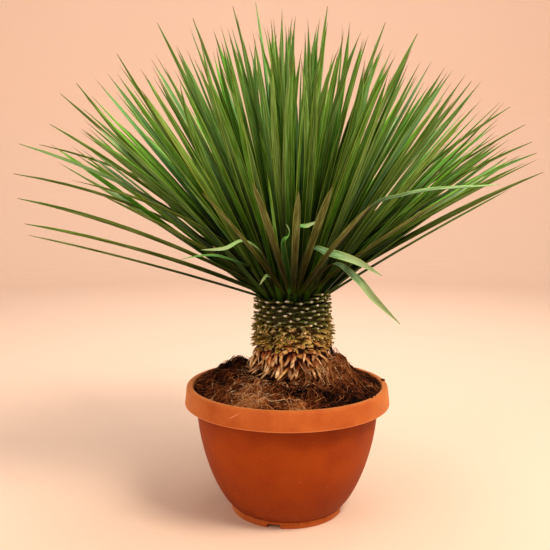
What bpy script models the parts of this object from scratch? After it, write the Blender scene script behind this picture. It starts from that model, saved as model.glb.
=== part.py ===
"""A beaked yucca standing in a moulded bowl pot, modelled in metres with +Z up.

The origin is on the floor at the pot's axis, and -Y is the front. The plant stands a little to the
right of the pot's axis, as a potted plant does.
"""

import math
import random

import bpy
import bmesh
from mathutils import Vector

# Clearance between pieces that touch
GAP = 0.0003

# Pot
POT_HEIGHT = 0.240
COLLAR_HEIGHT = 0.035
COLLAR_RADIUS = 0.200
COLLAR_TOP_RADIUS = 0.1965
COLLAR_WALL = 0.0032
RIM_INNER_RADIUS = 0.1855
BODY_TOP_RADIUS = 0.177
FOOT_RADIUS = 0.1075
FOOT_HEIGHT = 0.012
FOOT_WALL = 0.012
WALL = 0.0034
FLOOR_UNDERSIDE = 0.010
FLOOR_TOP = FLOOR_UNDERSIDE + WALL
CHAMFER = 0.0012
WALL_GAP = 0.0005
BULGE_OUT = 1.72
BULGE_UP = 1.35
BODY_ROWS = 8
INSIDE_ROWS = 4
ROUND_STEPS = 40
NOTCH_WIDTH = 0.025
NOTCH_HEIGHT = 0.007
NOTCH_COUNT = 4
FIRST_NOTCH_ANGLE = math.radians(-104)
DRAIN_RADIUS = 0.006
DRAIN_COUNT = 6
DRAIN_CIRCLE = 0.070
DRAIN_STEPS = 12

# Plant
STEM_X = 0.011
STEM_RADIUS = 0.0662
STEM_BOTTOM = 0.125
STEM_BOTTOM_RADIUS = 0.050
STEM_TAPER = 0.045
SKIRT_TOP = 0.320
STUB_ROWS = 10
STUB_ROW_PITCH = 0.0088
STUBS_PER_ROW = 21
STUB_DRIFT = -0.14
STEM_TOP = SKIRT_TOP + (STUB_ROWS - 1) * STUB_ROW_PITCH
STUB_REACH = 0.0118
STUB_VALLEY = 0.0050
STUB_RECESS = 0.0006
STUB_EDGE, STUB_BACK = 0.50, 0.92

# Soil
SOIL_EDGE_HEIGHT = 0.2325
SOIL_MOUND_HEIGHT = 0.0340
LUMP_SPACING = 0.080
LUMP_HEIGHT = 0.0024
SOIL_RINGS = (0, 0.18, 0.34, 0.50, 0.66, 0.82, 1)
CLUMP_ANGLE = math.radians(-10)
CLUMP_RADIUS = 0.103
CLUMP_HEIGHT = 0.038
CLUMP_SPREAD = 0.028
CLUMP_HALF_ANGLE = 0.42
BACK_RISE_ANGLE = math.radians(138)
BACK_RISE_RADIUS = 0.150
BACK_RISE = 0.018
BACK_RISE_SPREAD = 0.034

# Dead leaf bases round the trunk's foot
SKIRT_COLLAR_RADIUS = 0.0705
SKIRT_BOTTOM = 0.290
STRIP_WIDTH = 0.0130
STRIP_THICKNESS = 0.0026
STRIP_ROOT_RADIUS = 0.0680
STRIP_END_WIDTH = 0.6
STRIP_END_THICKNESS = 0.5
STRIP_TURN = 0.09
STRIP_LENGTH_SPREAD = 0.004
SKIRT_SEED = 5
SKIRT_TIERS = (
    # root's height, tip's radius and height, strips in the tier
    (0.3140, 0.0900, 0.2880, 24),
    (0.3050, 0.0975, 0.2740, 25),
    (0.2960, 0.1040, 0.2625, 25),
)

# Living leaves
CROWN_CENTRE = Vector((STEM_X, 0, 0.390))
CROWN_RADIUS = 0.066
CROWN_SEGMENTS = 16
CROWN_ROWS = 5
LEAF_COUNT = 310
LOWEST_ROOT = math.radians(14.5)
LOWEST_LEAF = math.radians(33)
FRONT_LIFT = math.radians(28)
FRONT_LIFT_POWER = 1.15
LEAF_LENGTH = 0.545
LENGTH_CHANGES = (-0.105, 0.020)
LONGER_LEFT = 0.020
MOST_SAG = 0.07
USUAL_LEAN = 0.030
USUAL_SWING = 0.058
TUFT_COUNT = 11
TUFT_PULL = 0.049
LEAF_ROOT = 0.055
LEAF_WIDTH = 0.0116
LEAF_ROOT_WIDTH = 0.0060
LEAF_THICKNESS = 0.0018
LEAF_ROOT_THICKNESS = 0.0030
TOP_OF_SECTION = 0.35
WIDEST_AT = 0.68
GOLDEN_ANGLE = math.pi * (3 - math.sqrt(5))
LEAF_SEED = 162
EDGE_SHARES = (0, 0.4, 0.75)
STRAIGHT_SAG = 0.045
EDGE_LEAVES = (
    # direction seen from above and rise at the root, in degrees, length from the crown's centre, sag
    (186, 41.5, 0.573, 0.310),
    (184, 30.0, 0.568, 0.160),
    (188, 23.7, 0.534, 0.113),
    (183, 17.6, 0.532, 0.043),
    (192, 44.0, 0.587, 0.250),
    (178, 53.0, 0.563, 0.420),
    (190, 42.4, 0.578, 0.100),
    (185, 43.5, 0.612, 0.016),
    (195, 39.6, 0.587, -0.120),
    (200, 49.6, 0.583, -0.090),
    (201, 63.8, 0.600, 0.010),
    (190, 71.2, 0.595, 0.010),
    (182, 81.3, 0.604, 0.050),
    (180, 84.1, 0.606, 0.020),
    (330, 82.5, 0.588, 0.000),
    (340, 72.8, 0.576, 0.030),
    (345, 66.7, 0.578, 0.030),
    (350, 50.2, 0.554, -0.030),
    (355, 51.5, 0.567, 0.170),
    (4, 45.7, 0.591, 0.160),
    (357, 44.9, 0.558, 0.200),
    (5, 41.1, 0.580, 0.190),
    (352, 33.1, 0.542, 0.083),
    (90, 33.0, 0.562, 0.000),
)
FRONT_LEAVES = (
    # as above
    (252, 29, 0.490, 0.050),
    (262, 29, 0.520, 0.050),
    (269.5, 27.5, 0.520, 0.050),
    (275, 28.5, 0.515, 0.050),
    (281, 26, 0.520, 0.060),
    (298, 28, 0.500, 0.050),
)
BENT_SHARES = (0, 0.5, 0.62, 0.8)
BENT_LEAVES = (
    # points of the midline past the crown: the fold or bow, then the part that hangs over, in metres
    ((0.032, -0.200, 0.511), (0.066, -0.220, 0.511), (0.110, -0.240, 0.498), (0.149, -0.250, 0.476)),
    ((0.074, -0.160, 0.486), (0.116, -0.190, 0.465), (0.143, -0.205, 0.434), (0.185, -0.215, 0.392)),
    ((-0.063, -0.140, 0.516), (-0.080, -0.155, 0.527), (-0.110, -0.175, 0.515), (-0.150, -0.190, 0.514)),
)


def clear_scene():
    for thing in list(bpy.data.objects):
        bpy.data.objects.remove(thing)


def linear(channel):
    return channel / 12.92 if channel <= 0.04045 else ((channel + 0.055) / 1.055) ** 2.4


def material(name, hex_colour, roughness):
    made = bpy.data.materials.new(name)
    made.use_nodes = True
    shader = made.node_tree.nodes["Principled BSDF"]
    channels = [int(hex_colour[i : i + 2], 16) / 255 for i in (0, 2, 4)]
    shader.inputs["Base Color"].default_value = (*map(linear, channels), 1)
    shader.inputs["Roughness"].default_value = roughness
    shader.inputs["Metallic"].default_value = 0
    return made


def polar(radius, angle, height, centre_x=0.0):
    return Vector((centre_x + radius * math.cos(angle), radius * math.sin(angle), height))


def circle(radius, height, count, centre_x=0.0):
    return [polar(radius, math.tau * i / count, height, centre_x) for i in range(count)]


def skin(name, rings, is_loop=False):
    """A closed object over rings of points or single points, capped at its ends or joined in a loop."""
    mesh = bmesh.new()
    rows = [[mesh.verts.new(point) for point in ring] for ring in rings]
    for low, high in zip(rows, rows[1:] + rows[:1] if is_loop else rows[1:]):
        count = max(len(low), len(high))
        for i in range(count):
            j = (i + 1) % count
            if len(low) == 1:
                mesh.faces.new((low[0], high[j], high[i]))
            elif len(high) == 1:
                mesh.faces.new((low[i], low[j], high[0]))
            else:
                mesh.faces.new((low[i], low[j], high[j], high[i]))
    for end in () if is_loop else (rows[0], rows[-1]):
        if len(end) > 2:
            mesh.faces.new(end)
    bmesh.ops.recalc_face_normals(mesh, faces=mesh.faces)
    if mesh.calc_volume(signed=True) < 0:
        bmesh.ops.reverse_faces(mesh, faces=mesh.faces)
    data = bpy.data.meshes.new(name)
    mesh.to_mesh(data)
    mesh.free()
    return bpy.data.objects.new(name, data)


def show(thing, finish, sharp_degrees=35):
    """Puts a finished piece in the scene, shaded smooth where its faces meet at a shallow angle."""
    bpy.context.scene.collection.objects.link(thing)
    thing.data.materials.clear()
    thing.data.materials.append(finish)
    thing.data.shade_smooth()
    thing.data.set_sharp_from_angle(angle=math.radians(sharp_degrees))
    return thing


def apply_boolean(thing, operation, tools):
    """Joins or cuts the thing with every object of a list, applies that, and removes them."""
    group = bpy.data.collections.new(thing.name + "_tools")
    for tool in tools:
        group.objects.link(tool)
    bpy.context.scene.collection.objects.link(thing)
    step = thing.modifiers.new("join", "BOOLEAN")
    step.operation = operation
    step.operand_type = "COLLECTION"
    step.collection = group
    step.solver = "EXACT"
    graph = bpy.context.evaluated_depsgraph_get()
    solid = bpy.data.meshes.new_from_object(thing.evaluated_get(graph))
    thing.modifiers.remove(step)
    thing.data = solid
    bpy.context.scene.collection.objects.unlink(thing)
    for tool in tools:
        bpy.data.objects.remove(tool)
    bpy.data.collections.remove(group)
    return thing


def body_radius(height):
    """The bowl's outer radius, from the foot up to the collar's lower edge."""
    bottom = FOOT_HEIGHT
    top = POT_HEIGHT - COLLAR_HEIGHT
    share = min(max((height - bottom) / (top - bottom), 0), 1)
    bulge = (1 - (1 - share) ** BULGE_OUT) ** (1 / BULGE_UP)
    return FOOT_RADIUS + (BODY_TOP_RADIUS - FOOT_RADIUS) * bulge


def body_heights():
    """Heights of the bowl's rows, closer together near the foot, where it curves most."""
    bottom = FOOT_HEIGHT
    top = POT_HEIGHT - COLLAR_HEIGHT
    return [bottom + (top - bottom) * (i / BODY_ROWS) ** 1.5 for i in range(BODY_ROWS + 1)]


def inner_radius(height):
    """The bowl's inner radius, also above the collar's lower edge, where the wall leans out to the rim."""
    top = POT_HEIGHT - COLLAR_HEIGHT
    if height <= top:
        return body_radius(height) - WALL
    lean = (height - top) / COLLAR_HEIGHT
    return BODY_TOP_RADIUS - WALL + (RIM_INNER_RADIUS - BODY_TOP_RADIUS + WALL) * lean


def inner_heights():
    """Heights of the rows of the bowl's inside, above its floor."""
    top = POT_HEIGHT - COLLAR_HEIGHT
    shares = [(i / INSIDE_ROWS) ** 1.5 for i in range(1, INSIDE_ROWS + 1)]
    return [FLOOR_TOP + (top - FLOOR_TOP) * share for share in shares]


def pot_outline():
    """Half of the pot's section, as (radius, height), from the axis under the floor to above it."""
    collar_bottom = POT_HEIGHT - COLLAR_HEIGHT
    under_rim = POT_HEIGHT - COLLAR_WALL
    foot = FOOT_RADIUS + 0.001
    points = [(0, FLOOR_UNDERSIDE), (foot - FOOT_WALL, FLOOR_UNDERSIDE), (foot - FOOT_WALL, 0)]
    points += [(foot - CHAMFER, 0), (foot, CHAMFER), (foot, FOOT_HEIGHT - CHAMFER)]
    points += [(body_radius(height), height) for height in body_heights()]
    lean = RIM_INNER_RADIUS + WALL
    points += [(lean, under_rim - CHAMFER), (lean + CHAMFER, under_rim)]
    points += [(COLLAR_TOP_RADIUS - COLLAR_WALL, under_rim), (COLLAR_RADIUS - COLLAR_WALL, collar_bottom)]
    points += [(COLLAR_RADIUS - CHAMFER, collar_bottom), (COLLAR_RADIUS, collar_bottom + CHAMFER)]
    points += [(COLLAR_TOP_RADIUS, POT_HEIGHT - 2 * CHAMFER), (COLLAR_TOP_RADIUS - 2 * CHAMFER, POT_HEIGHT)]
    points += [(RIM_INNER_RADIUS + CHAMFER, POT_HEIGHT), (RIM_INNER_RADIUS, POT_HEIGHT - CHAMFER)]
    points += [(inner_radius(height), height) for height in reversed(inner_heights())]
    points += [(inner_radius(FLOOR_TOP) - CHAMFER, FLOOR_TOP), (0, FLOOR_TOP)]
    return points


def box(name, size, middle, turn):
    mesh = bmesh.new()
    bmesh.ops.create_cube(mesh, size=1)
    bmesh.ops.scale(mesh, vec=size, verts=mesh.verts)
    data = bpy.data.meshes.new(name)
    mesh.to_mesh(data)
    mesh.free()
    made = bpy.data.objects.new(name, data)
    made.location = middle
    made.rotation_euler.z = turn
    return made


def drain_notches():
    """Blocks that cut the foot ring, so that water can run out from under the floor."""
    tools = []
    for i in range(NOTCH_COUNT):
        angle = FIRST_NOTCH_ANGLE + math.tau * i / NOTCH_COUNT
        size = (3 * FOOT_WALL, NOTCH_WIDTH, 2 * NOTCH_HEIGHT)
        middle = polar(FOOT_RADIUS - FOOT_WALL / 2, angle, 0)
        tools.append(box("notch", size, middle, angle))
    return tools


def drain_holes():
    tools = []
    for i in range(DRAIN_COUNT):
        middle = polar(DRAIN_CIRCLE, math.tau * i / DRAIN_COUNT, 0)
        low = [middle + point for point in circle(DRAIN_RADIUS, FLOOR_UNDERSIDE - WALL, DRAIN_STEPS)]
        high = [middle + point for point in circle(DRAIN_RADIUS, FLOOR_TOP + WALL, DRAIN_STEPS)]
        tools.append(skin("drain", [low, high]))
    return tools


def make_pot():
    rings = []
    for radius, height in pot_outline():
        rings.append([Vector((0, 0, height))] if radius == 0 else circle(radius, height, ROUND_STEPS))
    pot = skin("pot", rings)
    apply_boolean(pot, "DIFFERENCE", drain_notches() + drain_holes())
    return show(pot, material("terracotta_plastic", "C85A2A", 0.45))


def angle_between(first, second):
    return abs((first - second + math.pi) % math.tau - math.pi)


def bump(x, y, angle, radius, spread):
    """1 at a place on the soil, falling off smoothly round it."""
    away = math.hypot(x - radius * math.cos(angle), y - radius * math.sin(angle))
    return math.exp(-((away / spread) ** 2))


def soil_height(x, y):
    """The soil's surface: a mound round the stem, a fibrous clump on its right and a rise at the back."""
    edge = min(math.hypot(x, y) / RIM_INNER_RADIUS, 1)
    height = SOIL_EDGE_HEIGHT + SOIL_MOUND_HEIGHT * (1 - edge**2.2)
    height += CLUMP_HEIGHT * bump(x, y, CLUMP_ANGLE, CLUMP_RADIUS, CLUMP_SPREAD)
    height += BACK_RISE * bump(x, y, BACK_RISE_ANGLE, BACK_RISE_RADIUS, BACK_RISE_SPREAD)
    lumps = math.sin(math.tau * x / LUMP_SPACING + 1.3) * math.sin(math.tau * y / LUMP_SPACING + 0.4)
    return height + LUMP_HEIGHT * lumps * (1 - edge**8)


def soil_hole(height):
    return circle(STEM_RADIUS + GAP, height, ROUND_STEPS, STEM_X)


def make_soil():
    """A plug that fits the bowl inside, with a plain blind hole for the stem."""
    floor = FLOOR_TOP + GAP
    rings = [[Vector((0, 0, floor))]]
    rings.append(circle(inner_radius(FLOOR_TOP) - CHAMFER - WALL_GAP, floor, ROUND_STEPS))
    for height in inner_heights():
        rings.append(circle(inner_radius(height) - WALL_GAP, height, ROUND_STEPS))
    outer = inner_radius(SOIL_EDGE_HEIGHT) - WALL_GAP
    for share in SOIL_RINGS:
        ring = []
        for far, near in zip(circle(outer, 0, ROUND_STEPS), soil_hole(0)):
            point = far.lerp(near, share)
            point.z = soil_height(point.x, point.y)
            ring.append(point)
        rings.append(ring)
    rings.append(soil_hole(STEM_BOTTOM - GAP))
    rings.append([Vector((STEM_X, 0, STEM_BOTTOM - GAP))])
    return show(skin("soil", rings), material("potting_soil", "4A2A18", 0.95))


def stub_ring(height, row, reach):
    """A ring of points round the stem that reaches out most in the middle of each cut leaf base."""
    points = []
    for i in range(2 * STUBS_PER_ROW):
        angle = math.pi * (i + row * STUB_DRIFT) / STUBS_PER_ROW
        out = reach if (i + row) % 2 else min(reach, STUB_VALLEY)
        points.append(polar(STEM_RADIUS + out, angle, height, STEM_X))
    return points


def crown_width(height):
    """The radius of the growing dome at a height."""
    return math.sqrt(CROWN_RADIUS**2 - (height - CROWN_CENTRE.z) ** 2)


def make_trunk():
    """The stem: plain below, where the soil and the dead bases hold it, and ridged with cut bases above.

    Its top row of cut bases stands round the foot of the growing dome.
    """
    count = 2 * STUBS_PER_ROW
    plain = STEM_RADIUS - GAP
    rings = [circle(STEM_BOTTOM_RADIUS, STEM_BOTTOM, count, STEM_X)]
    rings += [circle(plain, STEM_BOTTOM + STEM_TAPER, count, STEM_X), circle(plain, SKIRT_TOP, count, STEM_X)]
    for row in range(STUB_ROWS):
        foot = SKIRT_TOP + row * STUB_ROW_PITCH
        rings.append(stub_ring(foot + STUB_EDGE * STUB_ROW_PITCH, row, STUB_REACH))
        rings.append(stub_ring(foot + STUB_BACK * STUB_ROW_PITCH, row, STUB_RECESS))
    rings[-1] = circle(STEM_RADIUS, foot + (STUB_EDGE + STUB_BACK) / 2 * STUB_ROW_PITCH, count, STEM_X)
    rings.append(circle(crown_width(STEM_TOP) + GAP, STEM_TOP, count, STEM_X))
    return show(skin("trunk", rings), material("cut_leaf_bases", "6E6A2C", 0.8))


def strip(root, tip, side):
    """One dead leaf base: a flat tapering strip with a blunt broken end, as three-sided sections."""
    under = side.cross(tip - root).normalized()
    if under.z > 0:
        under.negate()
    rings = []
    for share, width, thickness in ((0, 1, 1), (1, STRIP_END_WIDTH, STRIP_END_THICKNESS)):
        middle = root.lerp(tip, share)
        half = side * STRIP_WIDTH * width / 2
        rings.append([middle - half, middle + half, middle + under * STRIP_THICKNESS * thickness])
    return skin("strip", rings)


def make_skirt():
    """Tiers of dead leaf bases, spread down and out from the short collar that they grow from."""
    chance = random.Random(SKIRT_SEED)
    inner = STEM_RADIUS + GAP
    top = SKIRT_TOP - GAP
    section = [(inner, SKIRT_BOTTOM), (SKIRT_COLLAR_RADIUS, SKIRT_BOTTOM)]
    section += [(SKIRT_COLLAR_RADIUS, top), (inner, top)]
    rings = [circle(radius, height, ROUND_STEPS, STEM_X) for radius, height in section]
    skirt = skin("dry_leaf_skirt", rings, is_loop=True)
    strips = []
    for tier, (root_height, tip_radius, tip_height, count) in enumerate(SKIRT_TIERS):
        for i in range(count):
            angle = math.tau * (i + tier / 3) / count
            turn = chance.uniform(-STRIP_TURN, STRIP_TURN)
            longer = chance.uniform(-STRIP_LENGTH_SPREAD, STRIP_LENGTH_SPREAD)
            if angle_between(angle, CLUMP_ANGLE) < CLUMP_HALF_ANGLE:
                continue
            root = polar(STRIP_ROOT_RADIUS, angle, root_height, STEM_X)
            tip = polar(tip_radius + longer, angle + turn, tip_height, STEM_X)
            strips.append(strip(root, tip, polar(1, angle + math.pi / 2, 0)))
    apply_boolean(skirt, "UNION", strips)
    return show(skirt, material("dry_leaf_bases", "B08A58", 0.85))


def leaf_width(share):
    """The blade's width: narrow at the root, widest at a fixed share of its length, then a long taper."""
    if share < WIDEST_AT:
        return LEAF_ROOT_WIDTH + (LEAF_WIDTH - LEAF_ROOT_WIDTH) * math.sin(share / WIDEST_AT * math.pi / 2)
    return LEAF_WIDTH * math.cos((share - WIDEST_AT) / (1 - WIDEST_AT) * math.pi / 2) ** 0.8


def leaf_thickness(share):
    thin = LEAF_ROOT_THICKNESS + (LEAF_THICKNESS - LEAF_ROOT_THICKNESS) * min(share / WIDEST_AT, 1)
    return thin if share < WIDEST_AT else thin * (1 - 0.5 * (share - WIDEST_AT))


def blade(points, shares, side):
    """A leaf along its midline: flat above with a keel below, and a needle tip."""
    rings = []
    for k, (point, share) in enumerate(zip(points[:-1], shares)):
        along = (points[k + 1] - points[max(k - 1, 0)]).normalized()
        up = side.cross(along).normalized()
        half = side * leaf_width(share) / 2
        thickness = leaf_thickness(share)
        top = point + up * thickness * TOP_OF_SECTION
        rings.append([top - half, top + half, top - up * thickness])
    rings.append([points[-1]])
    return skin("blade", rings)


def direction(angle, rise):
    return Vector((math.cos(angle) * math.cos(rise), math.sin(angle) * math.cos(rise), math.sin(rise)))


def arched_leaf(angle, root_rise, rise, length, sag, shares, lean=0.0, swing=0.0):
    """A leaf from a place on the crown that heads off at its own rise and bows down and aside."""
    side = Vector((math.sin(angle), -math.cos(angle), 0))
    heading = (direction(angle, rise) + side * swing).normalized()
    reach = length - LEAF_ROOT
    bow = side * lean - side.cross(heading) * sag
    root = CROWN_CENTRE + direction(angle, root_rise) * LEAF_ROOT
    points = [root + heading * reach * share + bow * reach * share**2 for share in (*shares, 1)]
    return blade(points, shares, side)


def spiral_leaves():
    """The head's leaves in a golden-angle spiral, the lowest first, even over the dome.

    They are drawn together in tufts, and those in front stand steeper than those behind.
    """
    chance = random.Random(LEAF_SEED)
    leaves = []
    lowest = math.sin(LOWEST_ROOT)
    for i in range(LEAF_COUNT):
        root_rise = math.asin(lowest + (1 - lowest) * (i + 0.5) / LEAF_COUNT)
        up_share = (root_rise - LOWEST_ROOT) / (math.pi / 2 - LOWEST_ROOT)
        angle = i * GOLDEN_ANGLE
        rise = LOWEST_LEAF + FRONT_LIFT * max(0, -math.sin(angle)) ** FRONT_LIFT_POWER
        rise += (math.pi / 2 - rise) * up_share
        length = LEAF_LENGTH * (1 + chance.uniform(*LENGTH_CHANGES))
        length *= 1 - LONGER_LEFT * math.cos(angle)
        sag = chance.uniform(0, MOST_SAG) * math.cos(rise)
        lean = chance.gauss(0, USUAL_LEAN)
        swing = chance.gauss(0, USUAL_SWING) + TUFT_PULL * math.sin(TUFT_COUNT * angle)
        leaves.append(arched_leaf(angle, root_rise, rise, length, sag, (0, WIDEST_AT), lean, swing))
    return leaves


def edge_leaves():
    """The long and the drooping leaves that make the outline on each side, and the lowest in front."""
    leaves = []
    for degrees, rise, length, sag in EDGE_LEAVES + FRONT_LEAVES:
        angle, rise = math.radians(degrees), math.radians(rise)
        shares = EDGE_SHARES if abs(sag) > STRAIGHT_SAG else (0, WIDEST_AT)
        leaves.append(arched_leaf(angle, rise, rise, length, sag, shares))
    return leaves


def bent_leaves():
    """The broken leaves whose ends hang over."""
    leaves = []
    for points in BENT_LEAVES:
        middle = [CROWN_CENTRE] + [Vector(point) for point in points]
        middle[0] = CROWN_CENTRE.lerp(middle[1], LEAF_ROOT / (middle[1] - CROWN_CENTRE).length)
        side = (middle[1] - middle[0]).cross(Vector((0, 0, 1))).normalized()
        leaves.append(blade(middle, BENT_SHARES, side))
    return leaves


def make_leaf_head():
    """The growing dome with every living leaf fused to it."""
    flat = STEM_TOP + GAP
    lowest = math.asin((flat - CROWN_CENTRE.z) / CROWN_RADIUS)
    rings = []
    for row in range(CROWN_ROWS):
        rise = lowest + (math.pi / 2 - lowest) * row / CROWN_ROWS
        height = CROWN_CENTRE.z + CROWN_RADIUS * math.sin(rise)
        rings.append(circle(CROWN_RADIUS * math.cos(rise), height, CROWN_SEGMENTS, STEM_X))
    rings.append([CROWN_CENTRE + Vector((0, 0, CROWN_RADIUS))])
    head = skin("leaf_head", rings)
    apply_boolean(head, "UNION", spiral_leaves() + edge_leaves() + bent_leaves())
    return show(head, material("yucca_leaf", "5C7A3A", 0.5))


clear_scene()
make_pot()
make_soil()
make_trunk()
make_skirt()
make_leaf_head()
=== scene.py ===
# %% [markdown]
# # A beaked yucca in a bowl pot
#
# A beaked yucca is a short trunk under a head of several hundred stiff, narrow leaves. This one stands in
# a moulded plastic bowl of coir and peat. The solids of its pot, soil, trunk, dead leaf bases and leaves
# are already measured and packed, so each step below makes the fine surface that stands in a solid's
# place. Everything is in metres, with the floor at zero height and the front towards -Y.

# %% Load the measured solids
import math
import random
from itertools import combinations

import bpy
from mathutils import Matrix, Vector, noise


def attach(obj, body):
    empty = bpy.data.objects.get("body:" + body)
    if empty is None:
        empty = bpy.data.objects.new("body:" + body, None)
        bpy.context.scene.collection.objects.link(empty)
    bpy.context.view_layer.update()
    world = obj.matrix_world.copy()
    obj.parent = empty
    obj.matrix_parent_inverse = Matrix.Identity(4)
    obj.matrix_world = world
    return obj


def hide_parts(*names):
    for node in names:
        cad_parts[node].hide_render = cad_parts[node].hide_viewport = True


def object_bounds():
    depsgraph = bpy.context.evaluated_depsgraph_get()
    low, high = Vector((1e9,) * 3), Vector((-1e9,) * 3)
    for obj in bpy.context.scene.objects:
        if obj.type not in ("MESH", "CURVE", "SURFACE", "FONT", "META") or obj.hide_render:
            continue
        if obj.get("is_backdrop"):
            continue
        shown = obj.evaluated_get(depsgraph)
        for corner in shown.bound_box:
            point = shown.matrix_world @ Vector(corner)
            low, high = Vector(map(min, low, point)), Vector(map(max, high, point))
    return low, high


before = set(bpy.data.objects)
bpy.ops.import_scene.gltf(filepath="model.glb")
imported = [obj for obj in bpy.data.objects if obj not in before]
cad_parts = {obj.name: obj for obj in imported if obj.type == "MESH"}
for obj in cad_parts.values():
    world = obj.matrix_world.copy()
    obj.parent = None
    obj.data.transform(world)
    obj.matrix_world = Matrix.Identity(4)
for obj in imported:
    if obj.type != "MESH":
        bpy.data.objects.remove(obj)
cad_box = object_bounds()
print("solids:", ", ".join(sorted(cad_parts)))

# %% [markdown]
# ## Camera
#
# The perspective of a picture depends on where the camera stands, and the crop on its lens and shift. The
# camera here is level, so that upright things stay upright, and the lens is shifted down to take in the
# pot. Turning the camera down would also do it, but would make the pot's sides lean.

# %% Camera
PICTURE_SIDE = 550
FOCAL_PIXELS = 693
HORIZON_ROW = 202.7
CAMERA_PLACE = (-0.0237, -1.37, 0.5945)

lens = bpy.data.cameras.new("camera")
lens.lens = lens.sensor_width * FOCAL_PIXELS / PICTURE_SIDE
lens.shift_y = (HORIZON_ROW - PICTURE_SIDE / 2) / PICTURE_SIDE
camera = bpy.data.objects.new("camera", lens)
camera.location = CAMERA_PLACE
camera.rotation_euler.x = math.radians(90)
bpy.context.scene.collection.objects.link(camera)
bpy.context.scene.camera = camera
print("lens:", round(lens.lens, 1), "mm")

# %% [markdown]
# ## Colours, nodes and finishes
#
# Colours are written as the sRGB hex values that a paint chart or a picture editor shows, and shaders want
# linear light, so one function turns the one into the other. A finish is a graph of nodes. One more
# function adds any node with its settings and links, which keeps each finish as short as its idea. A mask
# is a number that is 1 where a colour or a shade belongs and 0 elsewhere.

# %% Linear colour
bpy.context.scene.view_settings.view_transform = "Standard"


def linear(hex_colour):
    """An sRGB hex colour as linear red, green, blue and an alpha of 1."""
    channels = [int(hex_colour[i : i + 2], 16) / 255 for i in (0, 2, 4)]
    return (*(c / 12.92 if c <= 0.04045 else ((c + 0.055) / 1.055) ** 2.4 for c in channels), 1)


# %% Nodes
def add(finish, kind, sockets=(), stops=(), get=0, **settings):
    """Adds a node to a finish and gives one of its outputs. Its sockets come in order or by name, and
    each takes a number, a vector, a colour as sRGB hex, or the output of another node."""
    node = finish.node_tree.nodes.new("ShaderNode" + kind)
    for setting, value in settings.items():
        setattr(node, setting, value)
    for socket, value in sockets.items() if isinstance(sockets, dict) else enumerate(sockets):
        if isinstance(value, bpy.types.NodeSocket):
            finish.node_tree.links.new(value, node.inputs[socket])
        else:
            node.inputs[socket].default_value = linear(value) if isinstance(value, str) else value
    for i, (place, hex_colour) in enumerate(stops):
        stop = node.color_ramp.elements[i] if i < 2 else node.color_ramp.elements.new(place)
        stop.position = place
        stop.color = linear(hex_colour)
    return node.outputs[get]


def shader_socket(finish, name):
    """A socket of the finish's shader, with the spaces in its name written as _."""
    return finish.node_tree.nodes["Principled BSDF"].inputs[name.replace("_", " ")]


def new_finish(name, **values):
    finish = bpy.data.materials.new(name)
    finish.use_nodes = True
    for socket, value in values.items():
        shader_socket(finish, socket).default_value = value
    return finish


def connect(finish, **outputs):
    for socket, output in outputs.items():
        finish.node_tree.links.new(output, shader_socket(finish, socket))


# %% [markdown]
# ## Studio
#
# Soft light from a big lamp on the right and a weaker one on the left gives the pot its round shading, and
# the pale surroundings fill the shadows. The floor is a disc that sweeps up into a round wall, so that
# every view has the same plain pale ground with no edge. A picture of a studio could light the scene too,
# but lamps can be moved and dimmed one by one until the shading matches.

# %% Lamps
def lamp(name, place, size, power, hex_colour, aim=(0, 0, 0.5)):
    light = bpy.data.lights.new(name, "AREA")
    light.size = size
    light.energy = power
    light.color = linear(hex_colour)[:3]
    made = bpy.data.objects.new(name, light)
    made.location = place
    made.rotation_euler = (Vector(aim) - Vector(place)).to_track_quat("-Z", "Y").to_euler()
    bpy.context.scene.collection.objects.link(made)


# name, place, side in metres, watts, colour, what it looks at
lamp("key_lamp", (1.6, -1.5, 3.0), 1.2, 132, "FFEFDA")
lamp("fill_lamp", (-2.4, -1.8, 1.8), 2.0, 36, "FFF2E4")
lamp("top_lamp", (0.2, 0.5, 3.0), 1.8, 36, "FFF8F0")
lamp("wall_lamp", (0.0, 1.5, 3.1), 1.5, 62, "FFF2EA", (0, 5.5, 1.5))

sky = bpy.data.worlds.new("studio")
sky.use_nodes = True
sky.node_tree.nodes["Background"].inputs["Color"].default_value = linear("FFF6EE")
sky.node_tree.nodes["Background"].inputs["Strength"].default_value = 0.40
bpy.context.scene.world = sky


# %% [markdown]
# ## Mesh helpers
#
# The plant is hundreds of slim parts of a few kinds. Each part is a loft: rings of points joined by faces.
# One gatherer takes all the lofts of a piece and makes a single mesh of them, with named numbers on the
# points, such as how far along its leaf a point lies. The finishes read those numbers, so a colour follows
# the part that it belongs to. An object for each leaf would also work, but hundreds of them are slow to
# draw and to export.

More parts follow.
